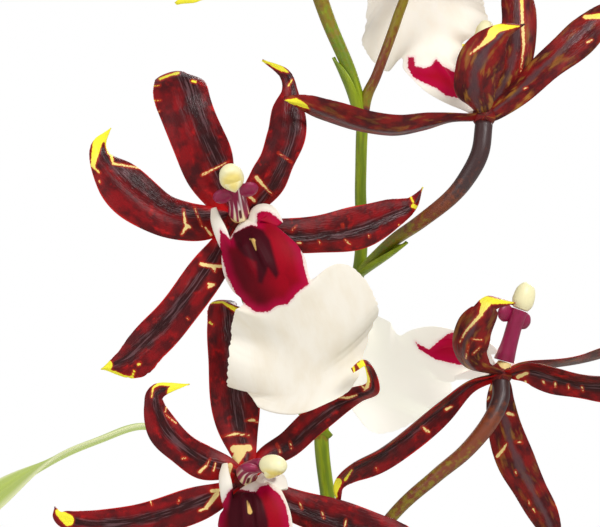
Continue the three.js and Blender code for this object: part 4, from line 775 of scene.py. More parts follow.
            "size": 0.88,
            "face": [0.23, 0.86, 0.45],
            "roll": [0, 0, 0, 0, -10, -25, -40, -45, -45, -45, -45],
        },
        "column": {
            "line": [[0.4, 2.4, -2.6], [0, 6.2, -5.6], [-0.2, 10.8, -7], [0.4, 14.8, -7.6]],
            "face": [-0.8, 0, -0.6],
        },
    },
}
REPEATS = {
    "e": {"like": "a", "centre": [-10.9, 487, 15.6], "turn": {"right": -38, "up": -34, "out": 24}},
    "f": {"like": "a", "centre": [33.2, 502.4, -13.6], "turn": {"right": -20, "up": 140, "out": -20}},
}
LIP_HALF = [1.3, 5.2, 8, 9.6, 9.4, 8, 12.2, 15.8, 16.2, 13.8, 7.2]
LIP_CUP = [0, -15, -38, -46, -42, -26, -10, -8, -8, -10, -10]
LIP_SWEEP = [0, 0, 0, 0, 0, -0.6, -6, -7, -6.8, -3.2, -2]
LIP_WAVE = [0, 0, 0, 0, 0, 0.3, 1.2, 1.6, 1.8, 1.6, 1.2]
COLUMN_WIDE = [2.3, 2, 1.9, 2.1]
COLUMN_DEEP = [1.7, 1.5, 1.5, 1.4]
COLUMN_FOOT = {"deep": 1.3, "share": 0.25}
COLUMN_SLIT = {"wide": 0.5, "from": 0.8, "to": 2.6, "behind": 9}
WING = {"half": [2.1, 2, 1], "at": 0.84, "apart": 2.8, "forward": 1, "stops": [-0.99, -0.7, 0, 0.7, 0.99]}

# The anther cap and its beak, from the column's end: how far on and how far to the front
CAP = [
    {
        "line": [(GAP, 0), (1.6, 0), (3.4, 0.1), (5, 0.3), (6, 0.6), (6.4, 0.7)],
        "wide": [1.8, 2.5, 2.5, 2.1, 1.2, 0.3],
        "deep": [1.6, 2.1, 2.2, 1.8, 1, 0.3],
    },
    {
        "line": [(4, -0.6), (3.3, 0.4), (2.5, 1.5), (1.6, 2.2), (0.8, 2.5)],
        "wide": [0.5, 1.9, 1.8, 1.1, 0.2],
        "deep": [0.4, 1.4, 1.2, 0.7, 0.2],
    },
]

# White lobes beside the column, from a place on the lip: how far to its side, its front and onward
SHOULDERS_AT = 0.1
SHOULDERS = [
    {
        "line": [[-1, -0.6, 0.8], [-3.5, 0, -0.6], [-4.8, 0, -1.1], [-5.8, -1, 0.3], [-6.5, -2.9, 2.8]],
        "wide": [1.2, 2.3, 2.8, 2.7, 1],
        "deep": [0.5, 0.6, 0.6, 0.5, 0.3],
        "share": -0.6,
    },
    {
        "line": [[2.6, 5.1, -5.4], [3.7, 3.6, -3.6], [4.5, 1.6, -1.4], [5.6, -1.2, 1.2], [6.3, -4.6, 4]],
        "wide": [0.7, 1.3, 1.6, 1.3, 0.5],
        "deep": [0.3, 0.5, 0.5, 0.5, 0.3],
        "share": 0.6,
    },
]
BUDS = {
    "bud_low": {
        "line": [[1, 496.4, -4.2], [-0.4, 501, -5], [-2, 507, -6], [-3, 512.6, -7]],
        "wide": [1.6, 3.6, 3.4, 0.5],
    },
    "bud_mid": {
        "line": [[21.2, 497.5, 10.1], [23, 501.4, 11.2], [25, 506, 12.4], [26.4, 510, 13]],
        "wide": [1.4, 3, 2.7, 0.4],
    },
    "bud_top": {
        "line": [[11.9, 503.4, 7.6], [12.2, 506.4, 7.6], [12.4, 509.8, 7.8], [12.3, 513, 8]],
        "wide": [1.2, 2.4, 2.1, 0.4],
    },
}

# Lines and directions. Numbers that change along a piece are given at the points of its line.


def unit(vectors):
    return vectors / np.linalg.norm(vectors, axis=-1, keepdims=True)


def line_through(points, shares):
    """Places on a smooth line through the points at shares of the way, and the line's slopes there."""
    points = np.array(points, float).reshape(len(points), -1)
    padded = np.vstack([2 * points[0] - points[1], points, 2 * points[-1] - points[-2]])
    spot = np.clip(shares, 0, 1) * (len(points) - 1)
    index = np.minimum(spot.astype(int), len(points) - 2)
    step = (spot - index)[:, None]
    before, start, end, after = (padded[index + place] for place in range(4))
    leave = (end - before) / 2
    arrive = (after - start) / 2
    square = 3 * (end - start) - 2 * leave - arrive
    cube = 2 * (start - end) + leave + arrive
    places = start + step * (leave + step * (square + step * cube))
    slopes = leave + step * (2 * square + 3 * step * cube)
    return places, slopes


def along(values, shares):
    """A number at each share of the way, from one number or from the numbers at the line's points."""
    if np.ndim(values) == 0:
        return np.full(len(shares), float(values))
    return line_through(values, shares)[0][:, 0]


def spine(points, face, shares, roll=0):
    """Places, side, front and onward directions along a line. The front is carried without twisting."""
    steps = np.linspace(0, 1, CURVE_STEPS + 1)
    carried = []
    front = np.array(face, float)
    for onward in unit(line_through(points, steps)[1]):
        front = unit(front - onward * (front @ onward))
        carried.append(front)
    places, slopes = line_through(points, shares)
    onward = unit(slopes)
    front = np.array([np.interp(shares, steps, axis) for axis in np.array(carried).T]).T
    front = unit(front - onward * np.sum(front * onward, -1, keepdims=True))
    side = np.cross(onward, front)
    turn = np.radians(along(roll, shares))[:, None]
    front = front * np.cos(turn) + side * np.sin(turn)
    return places, np.cross(onward, front), front, onward


def run_of(places):
    """The length of a line up to each of its places."""
    steps = np.linalg.norm(np.diff(places, axis=0), axis=1)
    return np.concatenate([[0], np.cumsum(steps)])[:, None]


# Forms: closed skins made of rings of points


def mesh_of(name, places, faces):
    """A mesh in metres from places laid out in millimetres."""
    right, up, out = places.T
    mesh = bpy.data.meshes.new(name)
    mesh.from_pydata((np.stack([right, -out, up], -1) / METRE).tolist(), [], faces)
    return mesh


def placed(name, data):
    """A new object in the scene."""
    made = bpy.data.objects.new(name, data)
    bpy.context.collection.objects.link(made)
    return made


class Form:
    """Closed skins gathered into one mesh, with the values that its finish reads at each point."""

    def __init__(self):
        self.places = []
        self.faces = []
        self.values = {}
        self.count = 0

    def skin(self, rings, **values):
        """Rings have the same even count of points, and run clockwise seen from the skin's start."""
        rows, size = rings.shape[:2]
        start = self.count
        ids = start + np.arange(rows * size).reshape(rows, size)
        after = np.roll(ids, -1, axis=1)
        walls = np.stack([ids[:-1], after[:-1], after[1:], ids[1:]], -1).reshape(-1, 4)
        self.faces.extend(walls.tolist())
        for ring, turned_round in ((ids[0], True), (ids[-1], False)):
            for corner in range(size // 2):
                lid = [ring[corner], ring[corner + 1], ring[size - corner - 1], ring[-corner]]
                lid = [int(point) for point in dict.fromkeys(lid)]
                self.faces.append(lid[::-1] if turned_round else lid)
        self.places.append(rings.reshape(-1, 3))
        for name, value in values.items():
            value = np.broadcast_to(value, (rows, size) if np.ndim(value) < 3 else (rows, size, 3))
            self.values.setdefault(name, []).append((start, value.reshape(rows * size, -1)))
        self.count += rows * size

    def add(self, places, faces, **values):
        """A closed skin with any faces."""
        start = self.count
        self.faces.extend([[start + corner for corner in face] for face in faces])
        self.places.append(places)
        for name, value in values.items():
            self.values.setdefault(name, []).append((start, np.asarray(value).reshape(len(places), -1)))
        self.count += len(places)

    def mesh(self, name, turn=None, centre=(0, 0, 0)):
        """The skins as one mesh, turned and then moved to their centre."""
        places = np.vstack(self.places)
        if turn is not None:
            places = places @ turn.T
        return mesh_of(name, places + np.array(centre, float), self.faces)

    def piece(self, node, slot, look, turn=None, centre=(0, 0, 0), sharp=None):
        """The finished piece, which replaces a node. Edges over the sharp angle aren't smoothed."""
        mesh = self.mesh(f"{node}_fine", turn, centre)
        for value_name, chunks in self.values.items():
            width = chunks[0][1].shape[1]
            whole = np.zeros((self.count, width), np.float32)
            for start, chunk in chunks:
                whole[start : start + len(chunk)] = chunk
            kind = "FLOAT_VECTOR" if width == 3 else "FLOAT"
            attribute = mesh.attributes.new(value_name, kind, "POINT")
            attribute.data.foreach_set("vector" if width == 3 else "value", whole.ravel())
        mesh.shade_smooth()
        if sharp:
            mesh.set_sharp_from_angle(angle=math.radians(sharp))
        mesh.materials.append(look)
        made = placed(mesh.name, mesh)
        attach(made, "root")
        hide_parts(node)


class Blade:
    """A thin blade, such as a petal or a leaf, on a fine grid of rows and columns.

    Its values are arrays with a row for each station and a column for each place round its ring, which
    runs over the front from the left margin to the right one and comes back behind.
    """

    def __init__(self, shape, rows, columns):
        self.t = np.linspace(0, 1, rows)
        spread = np.sin(np.linspace(-0.5, 0.5, columns) * math.pi)
        self.share = np.concatenate([spread, spread[-2:0:-1]])[None, :]
        back = np.concatenate([np.zeros(columns), np.ones(columns - 2)])
        rim = np.abs(self.share[0]) > 1 - 1e-6
        self.face = np.where(rim, 0, 1 - 2 * back)[None, :]
        self.shape = shape
        self.places, self.side, self.front, self.onward = spine(
            shape["spine"], shape["face"], self.t, shape.get("roll", 0)
        )
        self.run = run_of(self.places)
        half = np.maximum(self.along("half"), LEAST_HALF_WIDTH)
        self.width = half * (1 + self.along("lean") * np.sign(self.share))
        self.flat = np.stack(
            np.broadcast_arrays(self.share * self.width, self.run, shape.get("beat", 0.0) * SKIN_APART), -1
        )

    def along(self, name):
        return along(self.shape.get(name, 0), self.t)[:, None]

    def rings(self, thick, lift=0.0, fray=1.0):
        """The ring at each station. Lift moves it to the front, and fray scales its width."""
        shape = self.shape
        bend = np.radians(self.along("cup")) * self.share
        straight = np.abs(bend) < LEAST_BEND
        safe = np.where(straight, 1, bend)
        arc = np.where(straight, 1, np.sin(safe) / safe)
        rise = np.where(straight, 0, (1 - np.cos(safe)) / safe)
        beat = np.where(self.share < 0, OFF_BEAT, 0)
        turn = 2 * math.pi * shape.get("waves", 3) * self.t[:, None] + shape.get("phase", 0) + beat
        ruffle = self.along("wave") * np.abs(self.share) ** RUFFLE_POWER * np.sin(turn)
        width = self.width * fray
        ahead = (self.along("sweep") * self.share + self.along("slant")) * self.share
        middle = (
            self.places[:, None]
            + self.side[:, None] * (self.share * width * arc)[..., None]
            + self.front[:, None] * (self.share * width * rise + ruffle + lift)[..., None]
            + self.onward[:, None] * ahead[..., None]
        )
        out = self.front[:, None] * np.cos(bend)[..., None] - self.side[:, None] * np.sin(bend)[..., None]
        depth = self.face * thick / 2 * np.sqrt(np.maximum(1 - self.share**2, 0))
        return middle + out * depth[..., None]


def limb_rings(kind, line, wide, deep=None, face=(0, 0, 1), swell=None):
    """Rings of a stem, bulb or bud: an oval at each station, wide across the line and deep to its front."""
    rows, sides = RINGS[kind]
    t = np.linspace(0, 1, rows)
    places, side, front, _ = spine(line, face, t)
    turn = 2 * math.pi * np.arange(sides)[None, :] / sides
    across = np.maximum(along(wide, t), LEAST_RADIUS)[:, None]
    through = np.maximum(along(wide if deep is None else deep, t), LEAST_RADIUS)[:, None]
    grow = 1 if swell is None else swell(t[:, None], turn)
    sideways = across * grow * np.cos(turn)
    forward = -through * grow * np.sin(turn)
    rings = places[:, None] + side[:, None] * sideways[..., None] + front[:, None] * forward[..., None]
    girth = across.max()
    flat = np.stack(
        np.broadcast_arrays(girth * np.cos(turn), run_of(places), girth * np.sin(turn)), -1
    )
    return rings, t[:, None] + 0 * turn, flat


def applied(made, *spent):
    """Places, faces and normals of an object as it ends up. It and the spent ones are deleted."""
    bpy.context.view_layer.update()
    whole = made.evaluated_get(bpy.context.evaluated_depsgraph_get()).to_mesh()
    parts = []
    for source, name in ((whole.vertices, "co"), (whole.vertex_normals, "vector")):
        numbers = np.zeros(len(source) * 3, np.float32)
        source.foreach_get(name, numbers)
        right, back, up = numbers.reshape(-1, 3).T
        parts.append(np.stack([right, up, -back], -1))
    faces = [list(face.vertices) for face in whole.polygons]
    for used in (made, *spent):
        bpy.data.objects.remove(used)
    return parts[0] * METRE, faces, parts[1]


# Finishes


def colour(red, green, blue):
    """A node colour from the three numbers, 0 to 255, that a screen shows it with."""
    shares = np.array([red, green, blue]) / 255
    linear = np.where(shares <= 0.04045, shares / 12.92, ((shares + 0.055) / 1.055) ** 2.4)
    return (*linear.tolist(), 1.0)


class Tree:
    """Adds nodes to one tree. What fills a socket is a number, a colour or another node's output."""

    def __init__(self, tree, material=None):
        self.tree = tree
        self.material = material

    def fill(self, socket, value):
        if isinstance(value, bpy.types.NodeSocket):
            self.tree.links.new(value, socket)
        else:
            socket.default_value = value

    def shade(self, name, value):
        """Fills one of the sockets of the material's own shader."""
        self.fill(self.tree.nodes["Principled BSDF"].inputs[name], value)

    def put(self, kind, inputs, output=0, **settings):
        node = self.tree.nodes.new(kind)
        for name, value in settings.items():
            setattr(node, name, value)
        for name, value in inputs.items():
            self.fill(node.inputs[name], value)
        return node.outputs[output]

    def value(self, name):
        return self.put("ShaderNodeAttribute", {}, "Fac", attribute_name=name)

    def place(self, name="flat"):
        return self.put("ShaderNodeAttribute", {}, "Vector", attribute_name=name)

    def stretched(self, vector, on):
        """The flat place, with its length along the piece times a number."""
        scale = (1, on, 1)
        return self.put("ShaderNodeMapping", {"Vector": vector, "Scale": scale}, vector_type="POINT")

    def noise(self, vector, scale, detail=2.0, rough=0.5):
        inputs = {"Vector": vector, "Scale": scale, "Detail": detail, "Roughness": rough}
        return self.put("ShaderNodeTexNoise", inputs, "Fac", normalize=True)

    def cells(self, vector, scale):
        inputs = {"Vector": vector, "Scale": scale}
        return self.put("ShaderNodeTexVoronoi", inputs, "Distance", feature="F1")

    def sum(self, first, second):
        return self.put("ShaderNodeMath", {0: first, 1: second}, operation="ADD")

    def less(self, first, second):
        return self.put("ShaderNodeMath", {0: first, 1: second}, operation="SUBTRACT")

    def times(self, first, second):
        return self.put("ShaderNodeMath", {0: first, 1: second}, operation="MULTIPLY")

    def size(self, value):
        return self.put("ShaderNodeMath", {0: value}, operation="ABSOLUTE")

    def step(self, value, low, high, start=0.0, end=1.0):
        """A smooth step from start, where the value is low, to end, where it is high."""
        inputs = {"Value": value, "From Min": low, "From Max": high, "To Min": start, "To Max": end}
        return self.put("ShaderNodeMapRange", inputs, interpolation_type="SMOOTHSTEP")

    def mix(self, factor, first, second):
        inputs = {0: factor, 6: first, 7: second}
        return self.put("ShaderNodeMix", inputs, 2, data_type="RGBA", blend_type="MIX")

    def effect(self, group, inputs, output):
        return self.put("ShaderNodeGroup", inputs, output, node_tree=group)


def finish(name):
    """The tree of a new material."""
    made = bpy.data.materials.new(name)
    made.use_nodes = True
    return Tree(made.node_tree, made)


def wear(tree, base, rough, height=None, depth=0.1, strength=1.0):
    """The tree's material, with its colour, roughness and relief, whose depth is in millimetres."""
    tree.shade("Base Color", base)
    tree.shade("Roughness", rough)
    if height is not None:
        bump = {"Height": height, "Distance": depth / METRE, "Strength": strength}
        tree.shade("Normal", tree.put("ShaderNodeBump", bump))
    return tree.material


def glow(tree, base, amount):
    """Adds a share of a piece's own colour, as where light shines through it."""
    tree.shade("Emission Color", tree.mix(amount, colour(0, 0, 0), base))
    tree.shade("Emission Strength", 1.0)


def effect_group(name, inputs, outputs):
    """An empty shared effect, with its named numbers, vectors and masks."""
    made = bpy.data.node_groups.new(name, "ShaderNodeTree")
    for socket, kind in inputs.items():
        made.interface.new_socket(socket, in_out="INPUT", socket_type=kind)
    for socket in outputs:
        made.interface.new_socket(socket, in_out="OUTPUT", socket_type="NodeSocketFloat")
    tree = Tree(made)
    return made, tree, made.nodes.new("NodeGroupInput").outputs, made.nodes.new("NodeGroupOutput").inputs


def mottle_effect():
    """Soft patches: a mask from noise, stretched along the piece."""
    numbers = dict.fromkeys(PATCH_NUMBERS, "NodeSocketFloat")
    group, tree, given, result = effect_group("mottle", {"Place": "NodeSocketVector", **numbers}, ["Mask"])
    scale = tree.put("ShaderNodeCombineXYZ", {"X": 1.0, "Y": given["Along"], "Z": 1.0})
    vector = tree.put("ShaderNodeVectorMath", {0: given["Place"], 1: scale}, operation="MULTIPLY")
    mask = tree.step(tree.noise(vector, given["Scale"], 3.0, 0.55), given["Low"], given["High"])
    tree.fill(result["Mask"], mask)
    return group


def skin_effect():
    """A fine plant skin: small cells and lengthwise wrinkles, as a height."""
    numbers = dict.fromkeys(("Cells", "Wrinkles"), "NodeSocketFloat")
    group, tree, given, result = effect_group("skin", {"Place": "NodeSocketVector", **numbers}, ["Height"])
    long_place = tree.stretched(given["Place"], 0.3)
    cells = tree.cells(long_place, given["Cells"])
    wrinkles = tree.noise(tree.stretched(given["Place"], 0.12), given["Wrinkles"], 2.0, 0.6)
    tree.fill(result["Height"], tree.sum(tree.times(cells, 0.5), wrinkles))
    return group


def mark_effect():
    """Ragged marks from a distance inside their outline in millimetres: the mark and a halo round it."""
    numbers = dict.fromkeys(("Inside", "Ragged", "Halo"), "NodeSocketFloat")
    inputs = {"Place": "NodeSocketVector", **numbers}
    group, tree, given, result = effect_group("marks", inputs, ["Mark", "Halo"])
    drift = tree.less(tree.noise(given["Place"], 1.6, 3.0, 0.6), 0.5)
    edge = tree.sum(given["Inside"], tree.times(drift, given["Ragged"]))
    tree.fill(result["Mark"], tree.step(edge, -0.06, 0.1))
    tree.fill(result["Halo"], tree.step(edge, tree.less(0.0, given["Halo"]), 0.1))
    return group


MOTTLE = mottle_effect()
SKIN = skin_effect()
MARKS = mark_effect()


def mottle(tree, place, name):
    inputs = dict(zip(PATCH_NUMBERS, PATCHES[name]))
    return tree.effect(MOTTLE, {"Place": place, **inputs}, "Mask")


def mottled(tree, place, name, first, second):
    """Two colours in soft patches."""
    return tree.mix(mottle(tree, place, name), first, second)


def marks(tree, place, inside, ragged, halo):
    """The halo round the marks, and the marks."""
    inputs = {"Place": place, "Inside": inside, "Ragged": ragged, "Halo": halo}
    return [tree.effect(MARKS, inputs, output) for output in ("Halo", "Mark")]


def skin(tree, place, cells, wrinkles):
    return tree.effect(SKIN, {"Place": place, "Cells": cells, "Wrinkles": wrinkles}, "Height")


def petal_finish():
    """Glossy dark red, mottled brighter, with a brown-black midrib band streaked with painted grey sheen,
    pale marks and a marbled back with a painted grey sheen along its midrib.
    """
    tree = finish("petal")
    tree.shade("Specular IOR Level", 0.2)
    flat = tree.place()
    zone = tree.sum(tree.size(tree.value("midrib_and_sheen")), tree.times(tree.noise(flat, 0.3), 0.5))
    front = petal_front(tree, flat, tree.size(tree.value("share")), zone)
    back = petal_back(tree, flat, zone)
    base_colour = tree.mix(tree.step(tree.value("face"), -0.2, 0.2), back, front)
    halo, mark = marks(tree, flat, tree.value("pale"), 0.5, 0.5)
    base_colour = tree.mix(tree.times(halo, 0.65), base_colour, colour(212, 48, 16))
    pale = tree.mix(tree.value("tip"), colour(252, 226, 150), colour(254, 244, 60))
    base_colour = tree.mix(mark, base_colour, pale)
    height = tree.times(skin(tree, flat, 2.8, 3.4), tree.step(zone, 0.4, 0.8, 1.7, 0.7))
    rough = tree.step(zone, 0.4, 0.9, 0.34, 0.46)
    return wear(tree, base_colour, rough, height, depth=0.12, strength=0.75)


def petal_front(tree, flat, share, zone):
    red = mottled(tree, flat, "petal", colour(82, 6, 12), colour(136, 8, 16))
    bright = tree.times(mottle(tree, flat, "petal_bright"), 0.85)
    red = tree.mix(bright, red, colour(200, 20, 20))
    red = tree.mix(tree.step(tree.value("run"), 2.0, 9.0, 0.85, 0.0), red, colour(208, 8, 14))
    dusk = tree.times(mottle(tree, flat, "petal_dusk"), 0.55)
    red = tree.mix(dusk, red, colour(56, 12, 16))
    # The band by the midrib is dark brown-black, streaked with a painted grey sheen.
    streaks = tree.noise(tree.stretched(flat, 0.06), 2.6, 2.0)
    midrib_and_sheen = tree.mix(tree.step(streaks, 0.48, 0.66), colour(40, 14, 16), colour(98, 70, 74))
    red = tree.mix(tree.step(zone, 0.36, 0.7, 0.9, 0.0), red, midrib_and_sheen)
    edge = tree.times(tree.step(share, 0.9, 0.99), mottle(tree, flat, "petal_margin"))
    return tree.mix(edge, red, colour(206, 18, 14))


def petal_back(tree, flat, zone):
    back = mottled(tree, flat, "petal_back", colour(72, 16, 20), colour(134, 22, 20))
    low = tree.step(tree.value("run"), 6.0, 26.0, 0.85, 0.25)
    marbled = tree.times(mottle(tree, flat, "petal_marbling"), low)
    back = tree.mix(marbled, back, colour(172, 118, 44))
    # A painted grey sheen along the back's midrib.
    back_sheen_stripe = tree.step(zone, 0.3, 0.52, 0.75, 0.0)
    return tree.mix(back_sheen_stripe, back, colour(92, 66, 70))


def lip_finish():
    """A crimson throat with a dark callus, brighter on one side and darker on the other as painted light
    and shade, and a creamy white blade, paler where light shines through.
    """
    tree = finish("lip")
    tree.shade("Specular IOR Level", 0.1)
    flat = tree.place()
    lit = tree.value("lit")
    white = mottled(tree, flat, "lip", colour(250, 243, 229), colour(244, 234, 215))
    white = tree.mix(lit, white, colour(255, 252, 244))
    throat = tree.value("throat")
    # Painted light and shade: the throat is brighter crimson on one side of the lip and darker on the
    # other.
    crimson = tree.mix(tree.step(tree.value("share"), -0.5, 0.5), colour(158, 0, 26), colour(90, 0, 16))
    patches = mottle(tree, flat, "throat")
    crimson = tree.mix(tree.times(patches, 0.5), crimson, colour(114, 0, 18))
    crimson = tree.mix(tree.times(lit, 0.8), crimson, colour(176, 6, 50))
    crimson = tree.mix(tree.step(throat, 0.2, 2.6, 0.75, 0.0), crimson, colour(180, 0, 62))
    crimson = tree.mix(tree.step(tree.value("callus"), -0.5, 0.5), crimson, colour(66, 4, 18))
    halo, mark = marks(tree, flat, throat, 0.8, 0.7)
    base_colour = tree.mix(tree.times(halo, 0.45), white, colour(226, 150, 176))
    base_colour = tree.mix(mark, base_colour, crimson)
    spot = tree.step(tree.value("spot"), -0.1, 0.15)
    base_colour = tree.mix(spot, base_colour, colour(228, 186, 108))
    glow(tree, base_colour, tree.times(lit, 0.35))
    return wear(tree, base_colour, 0.55, skin(tree, flat, 2.4, 2.4), depth=0.05, strength=0.3)


def column_finish():
    """Magenta, with a pale front striped in maroon, creamier at its foot and with a dark slit."""
    tree = finish("column")
    flat = tree.place()
    stripes = tree.step(tree.noise(tree.stretched(flat, 0.06), 1.0, 1.0), 0.44, 0.56)
    low = tree.step(tree.value("t"), 0.1, 0.5, 1.0, 0.0)
    pale = tree.mix(low, colour(246, 228, 228), colour(240, 222, 176))
    front = tree.mix(stripes, pale, colour(142, 20, 66))
    magenta = tree.mix(tree.noise(flat, 0.6), colour(122, 16, 50), colour(168, 26, 86))
    base_colour = tree.mix(tree.step(tree.value("front"), 0.1, 0.5), magenta, front)
    base_colour = tree.mix(tree.step(tree.value("slit"), -0.1, 0.2), base_colour, colour(92, 4, 16))
    return wear(tree, base_colour, 0.4, skin(tree, flat, 3.0, 3.0), depth=0.06, strength=0.5)


def cap_finish():
    """Smooth cream, yellow in the middle of its front."""
    tree = finish("anther_cap")
    warm = tree.step(tree.value("share"), 0.15, 0.85)
    base_colour = tree.mix(warm, colour(254, 246, 196), colour(251, 228, 128))
    return wear(tree, base_colour, 0.42, skin(tree, tree.place(), 2.0, 2.0), depth=0.05, strength=0.4)


def stem_finish():
    """Green, with olive, red-brown and nearly black mottling where the stalks are brown."""
    tree = finish("stem")
    flat = tree.place()
    base_colour = mottled(tree, flat, "stem", colour(110, 134, 10), colour(158, 178, 14))
    drift = tree.times(tree.less(tree.noise(flat, 0.7, 3.0), 0.5), 1.2)
    brown = tree.sum(tree.value("brown"), drift)
    for low, high, tint in (
        (0.1, 0.45, colour(142, 122, 22)),
        (0.5, 0.95, colour(128, 60, 30)),
        (1.05, 1.6, colour(62, 38, 38)),
    ):
        base_colour = tree.mix(tree.step(brown, low, high), base_colour, tint)
    return wear(tree, base_colour, 0.42, skin(tree, flat, 1.8, 2.2), depth=0.1, strength=0.5)


def leaf_finish():
    """Green with fine lengthwise veins and a paler midrib. One leaf is painted paler and yellower, with
    pale margins and a painted glow.
    """
    tree = finish("leaf")
    flat = tree.place()
    share = tree.size(tree.value("share"))
    veins = tree.noise(tree.stretched(flat, 0.02), 1.4, 2.0)
    green = mottled(tree, flat, "leaf", colour(104, 142, 44), colour(136, 166, 58))
    green = tree.mix(tree.step(veins, 0.5, 0.7, 0.0, 0.35), green, colour(172, 192, 90))
    base_colour = tree.mix(tree.step(share, 0.02, 0.08, 0.6, 0.0), green, colour(190, 204, 120))
    back = tree.step(tree.value("face"), -0.2, 0.2, 0.35, 0.0)
    base_colour = tree.mix(back, base_colour, colour(160, 178, 96))
    # Painted light: the one leaf is painted paler and yellower, paler still at its margins, and glows with
    # its own colour.
    pale_glow = tree.value("pale_glow")
    base_colour = tree.mix(tree.times(pale_glow, 0.75), base_colour, colour(196, 212, 104))
    pale_edge = tree.times(pale_glow, tree.step(share, 0.55, 1.0, 0.0, 0.8))
    base_colour = tree.mix(pale_edge, base_colour, colour(232, 236, 184))
    glow(tree, base_colour, tree.times(pale_glow, 0.25))
    return wear(tree, base_colour, 0.42, veins, depth=0.25, strength=0.7)


def bulb_finish():
    """Green, ribbed lengthwise, with papery brown at the foot."""
    tree = finish("pseudobulb")
    flat = tree.place()
    ribs = tree.noise(tree.stretched(flat, 0.05), 0.35, 2.0)
    green = tree.mix(tree.step(ribs, 0.35, 0.65), colour(96, 126, 42), colour(142, 160, 66))
    foot = tree.sum(tree.step(tree.value("t"), 0.04, 0.3, 1.0, 0.0), tree.times(tree.noise(flat, 0.3), 0.5))
    base_colour = tree.mix(tree.step(foot, 0.6, 0.9), green, colour(160, 128, 82))
    return wear(tree, base_colour, 0.48, ribs, depth=0.6, strength=0.8)


def root_finish():
    """Silvery grey-green roots and a brown rhizome."""
    tree = finish("root")
    flat = tree.place()
    grey = mottled(tree, flat, "root", colour(192, 194, 170), colour(154, 158, 126))
    base_colour = tree.mix(tree.value("woody"), grey, colour(116, 98, 58))
    return wear(tree, base_colour, 0.75, skin(tree, flat, 1.4, 1.4), depth=0.2, strength=0.8)


def clay_finish():
    """Fired clay, with a fine grain, faint pale salts and darker specks."""
    tree = finish("clay")
    place = tree.place()
    clay = mottled(tree, place, "clay", colour(170, 92, 60), colour(192, 114, 78))
    salts = mottle(tree, place, "clay_salts")
    base_colour = tree.mix(tree.times(salts, 0.45), clay, colour(222, 196, 172))
    speckle = tree.step(tree.noise(place, 1.4, 2.0), 0.62, 0.72, 0.0, 0.5)
    base_colour = tree.mix(speckle, base_colour, colour(140, 74, 50))
    return wear(tree, base_colour, 0.85, tree.noise(place, 1.2, 4.0, 0.7), depth=0.25, strength=0.6)


def bark_finish():
    """Bark: each chip has its own brown, with a grain along it, darker in the grain's low streaks and paler
    on its high ones, which its relief follows.
    """
    tree = finish("bark")
    grain = tree.stretched(tree.place("grain"), 0.25)
    brown = tree.mix(tree.value("tone"), colour(66, 40, 26), colour(138, 92, 58))
    streaks = tree.noise(grain, 0.9, 4.0, 0.7)
    brown = tree.mix(tree.step(streaks, 0.35, 0.5, 0.75, 0.0), brown, colour(40, 25, 18))
    brown = tree.mix(tree.step(streaks, 0.56, 0.7, 0.0, 0.6), brown, colour(170, 124, 84))
    return wear(tree, brown, 0.9, streaks, depth=0.9, strength=0.9)


def bud_finish():
    """Brown-maroon buds, greener along their seams."""
    tree = finish("bud")
    flat = tree.place()
    seam = tree.step(tree.value("seam"), 0.7, 1.0)
    maroon = mottled(tree, flat, "bud", colour(96, 40, 30), colour(130, 58, 38))
    base_colour = tree.mix(tree.times(seam, 0.8), maroon, colour(132, 136, 42))
    return wear(tree, base_colour, 0.42, skin(tree, flat, 2.4, 2.4), depth=0.1, strength=0.5)


# The view, the floor and the lights


def viewpoint():
    camera = bpy.data.cameras.new("camera")
    camera.sensor_width = SENSOR
    camera.lens = SENSOR * CAMERA_AWAY / VIEW_WIDTH
    camera.clip_start, camera.clip_end = CLIP
    seat = placed("camera", camera)
    seat.location = np.array([CAMERA_RIGHT, -CAMERA_AWAY, CAMERA_UP]) / METRE
    seat.rotation_euler = (math.radians(90), 0, 0)
    bpy.context.scene.camera = seat


def floor():
    """A wide disc, nearly white."""
    turn = 2 * math.pi * np.arange(FLOOR_SIDES) / FLOOR_SIDES
    ring = np.stack([np.cos(turn), np.sin(turn), 0 * turn], -1) * FLOOR_RADIUS
    mesh = bpy.data.meshes.new("floor")
    mesh.from_pydata(ring.tolist(), [], [list(range(FLOOR_SIDES))])
    tree = finish("floor")
    place = tree.put("ShaderNodeTexCoord", {}, "Object")
    base_colour = tree.mix(tree.noise(place, 3.0), colour(232, 231, 229), colour(240, 239, 237))
    mesh.materials.append(wear(tree, base_colour, 0.8))
    placed("floor", mesh)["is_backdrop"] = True


def lights():
    for name, (place, aim, size, power) in LIGHTS.items():
        light = bpy.data.lights.new(name, "AREA")
        light.size = size
        light.energy = power
        lamp = placed(name, light)
        lamp.location = place
        lamp.rotation_euler = (Vector(place) - Vector(aim)).to_track_quat("Z", "Y").to_euler()


def surroundings():
    """White all round, and dimmer in what it lights than in what is seen of it."""
    world = bpy.data.worlds.new("studio")
    world.use_nodes = True
    tree = Tree(world.node_tree)
    seen = tree.put("ShaderNodeLightPath", {}, "Is Camera Ray")
    background = world.node_tree.nodes["Background"]
    tree.fill(background.inputs["Strength"], tree.step(seen, 0.0, 1.0, WORLD_LIGHT, 1.0))
    tree.fill(background.inputs["Color"], colour(255, 255, 255))
    bpy.context.scene.world = world
    bpy.context.scene.view_settings.view_transform = "Standard"


# Where a place on a bloom is seen in the photograph, and how far inside a mark it lies


def seen_at(places):
    """The photo's pixel, across and down, of each place of a layout in millimetres."""
    scale = PIXEL * (1 - places[..., 2] / CAMERA_AWAY)
    across = PHOTO_MIDDLE[0] + (places[..., 0] - CAMERA_RIGHT) / scale
    down = PHOTO_MIDDLE[1] - (places[..., 1] - CAMERA_UP) / scale
    return np.stack([across, down], -1)


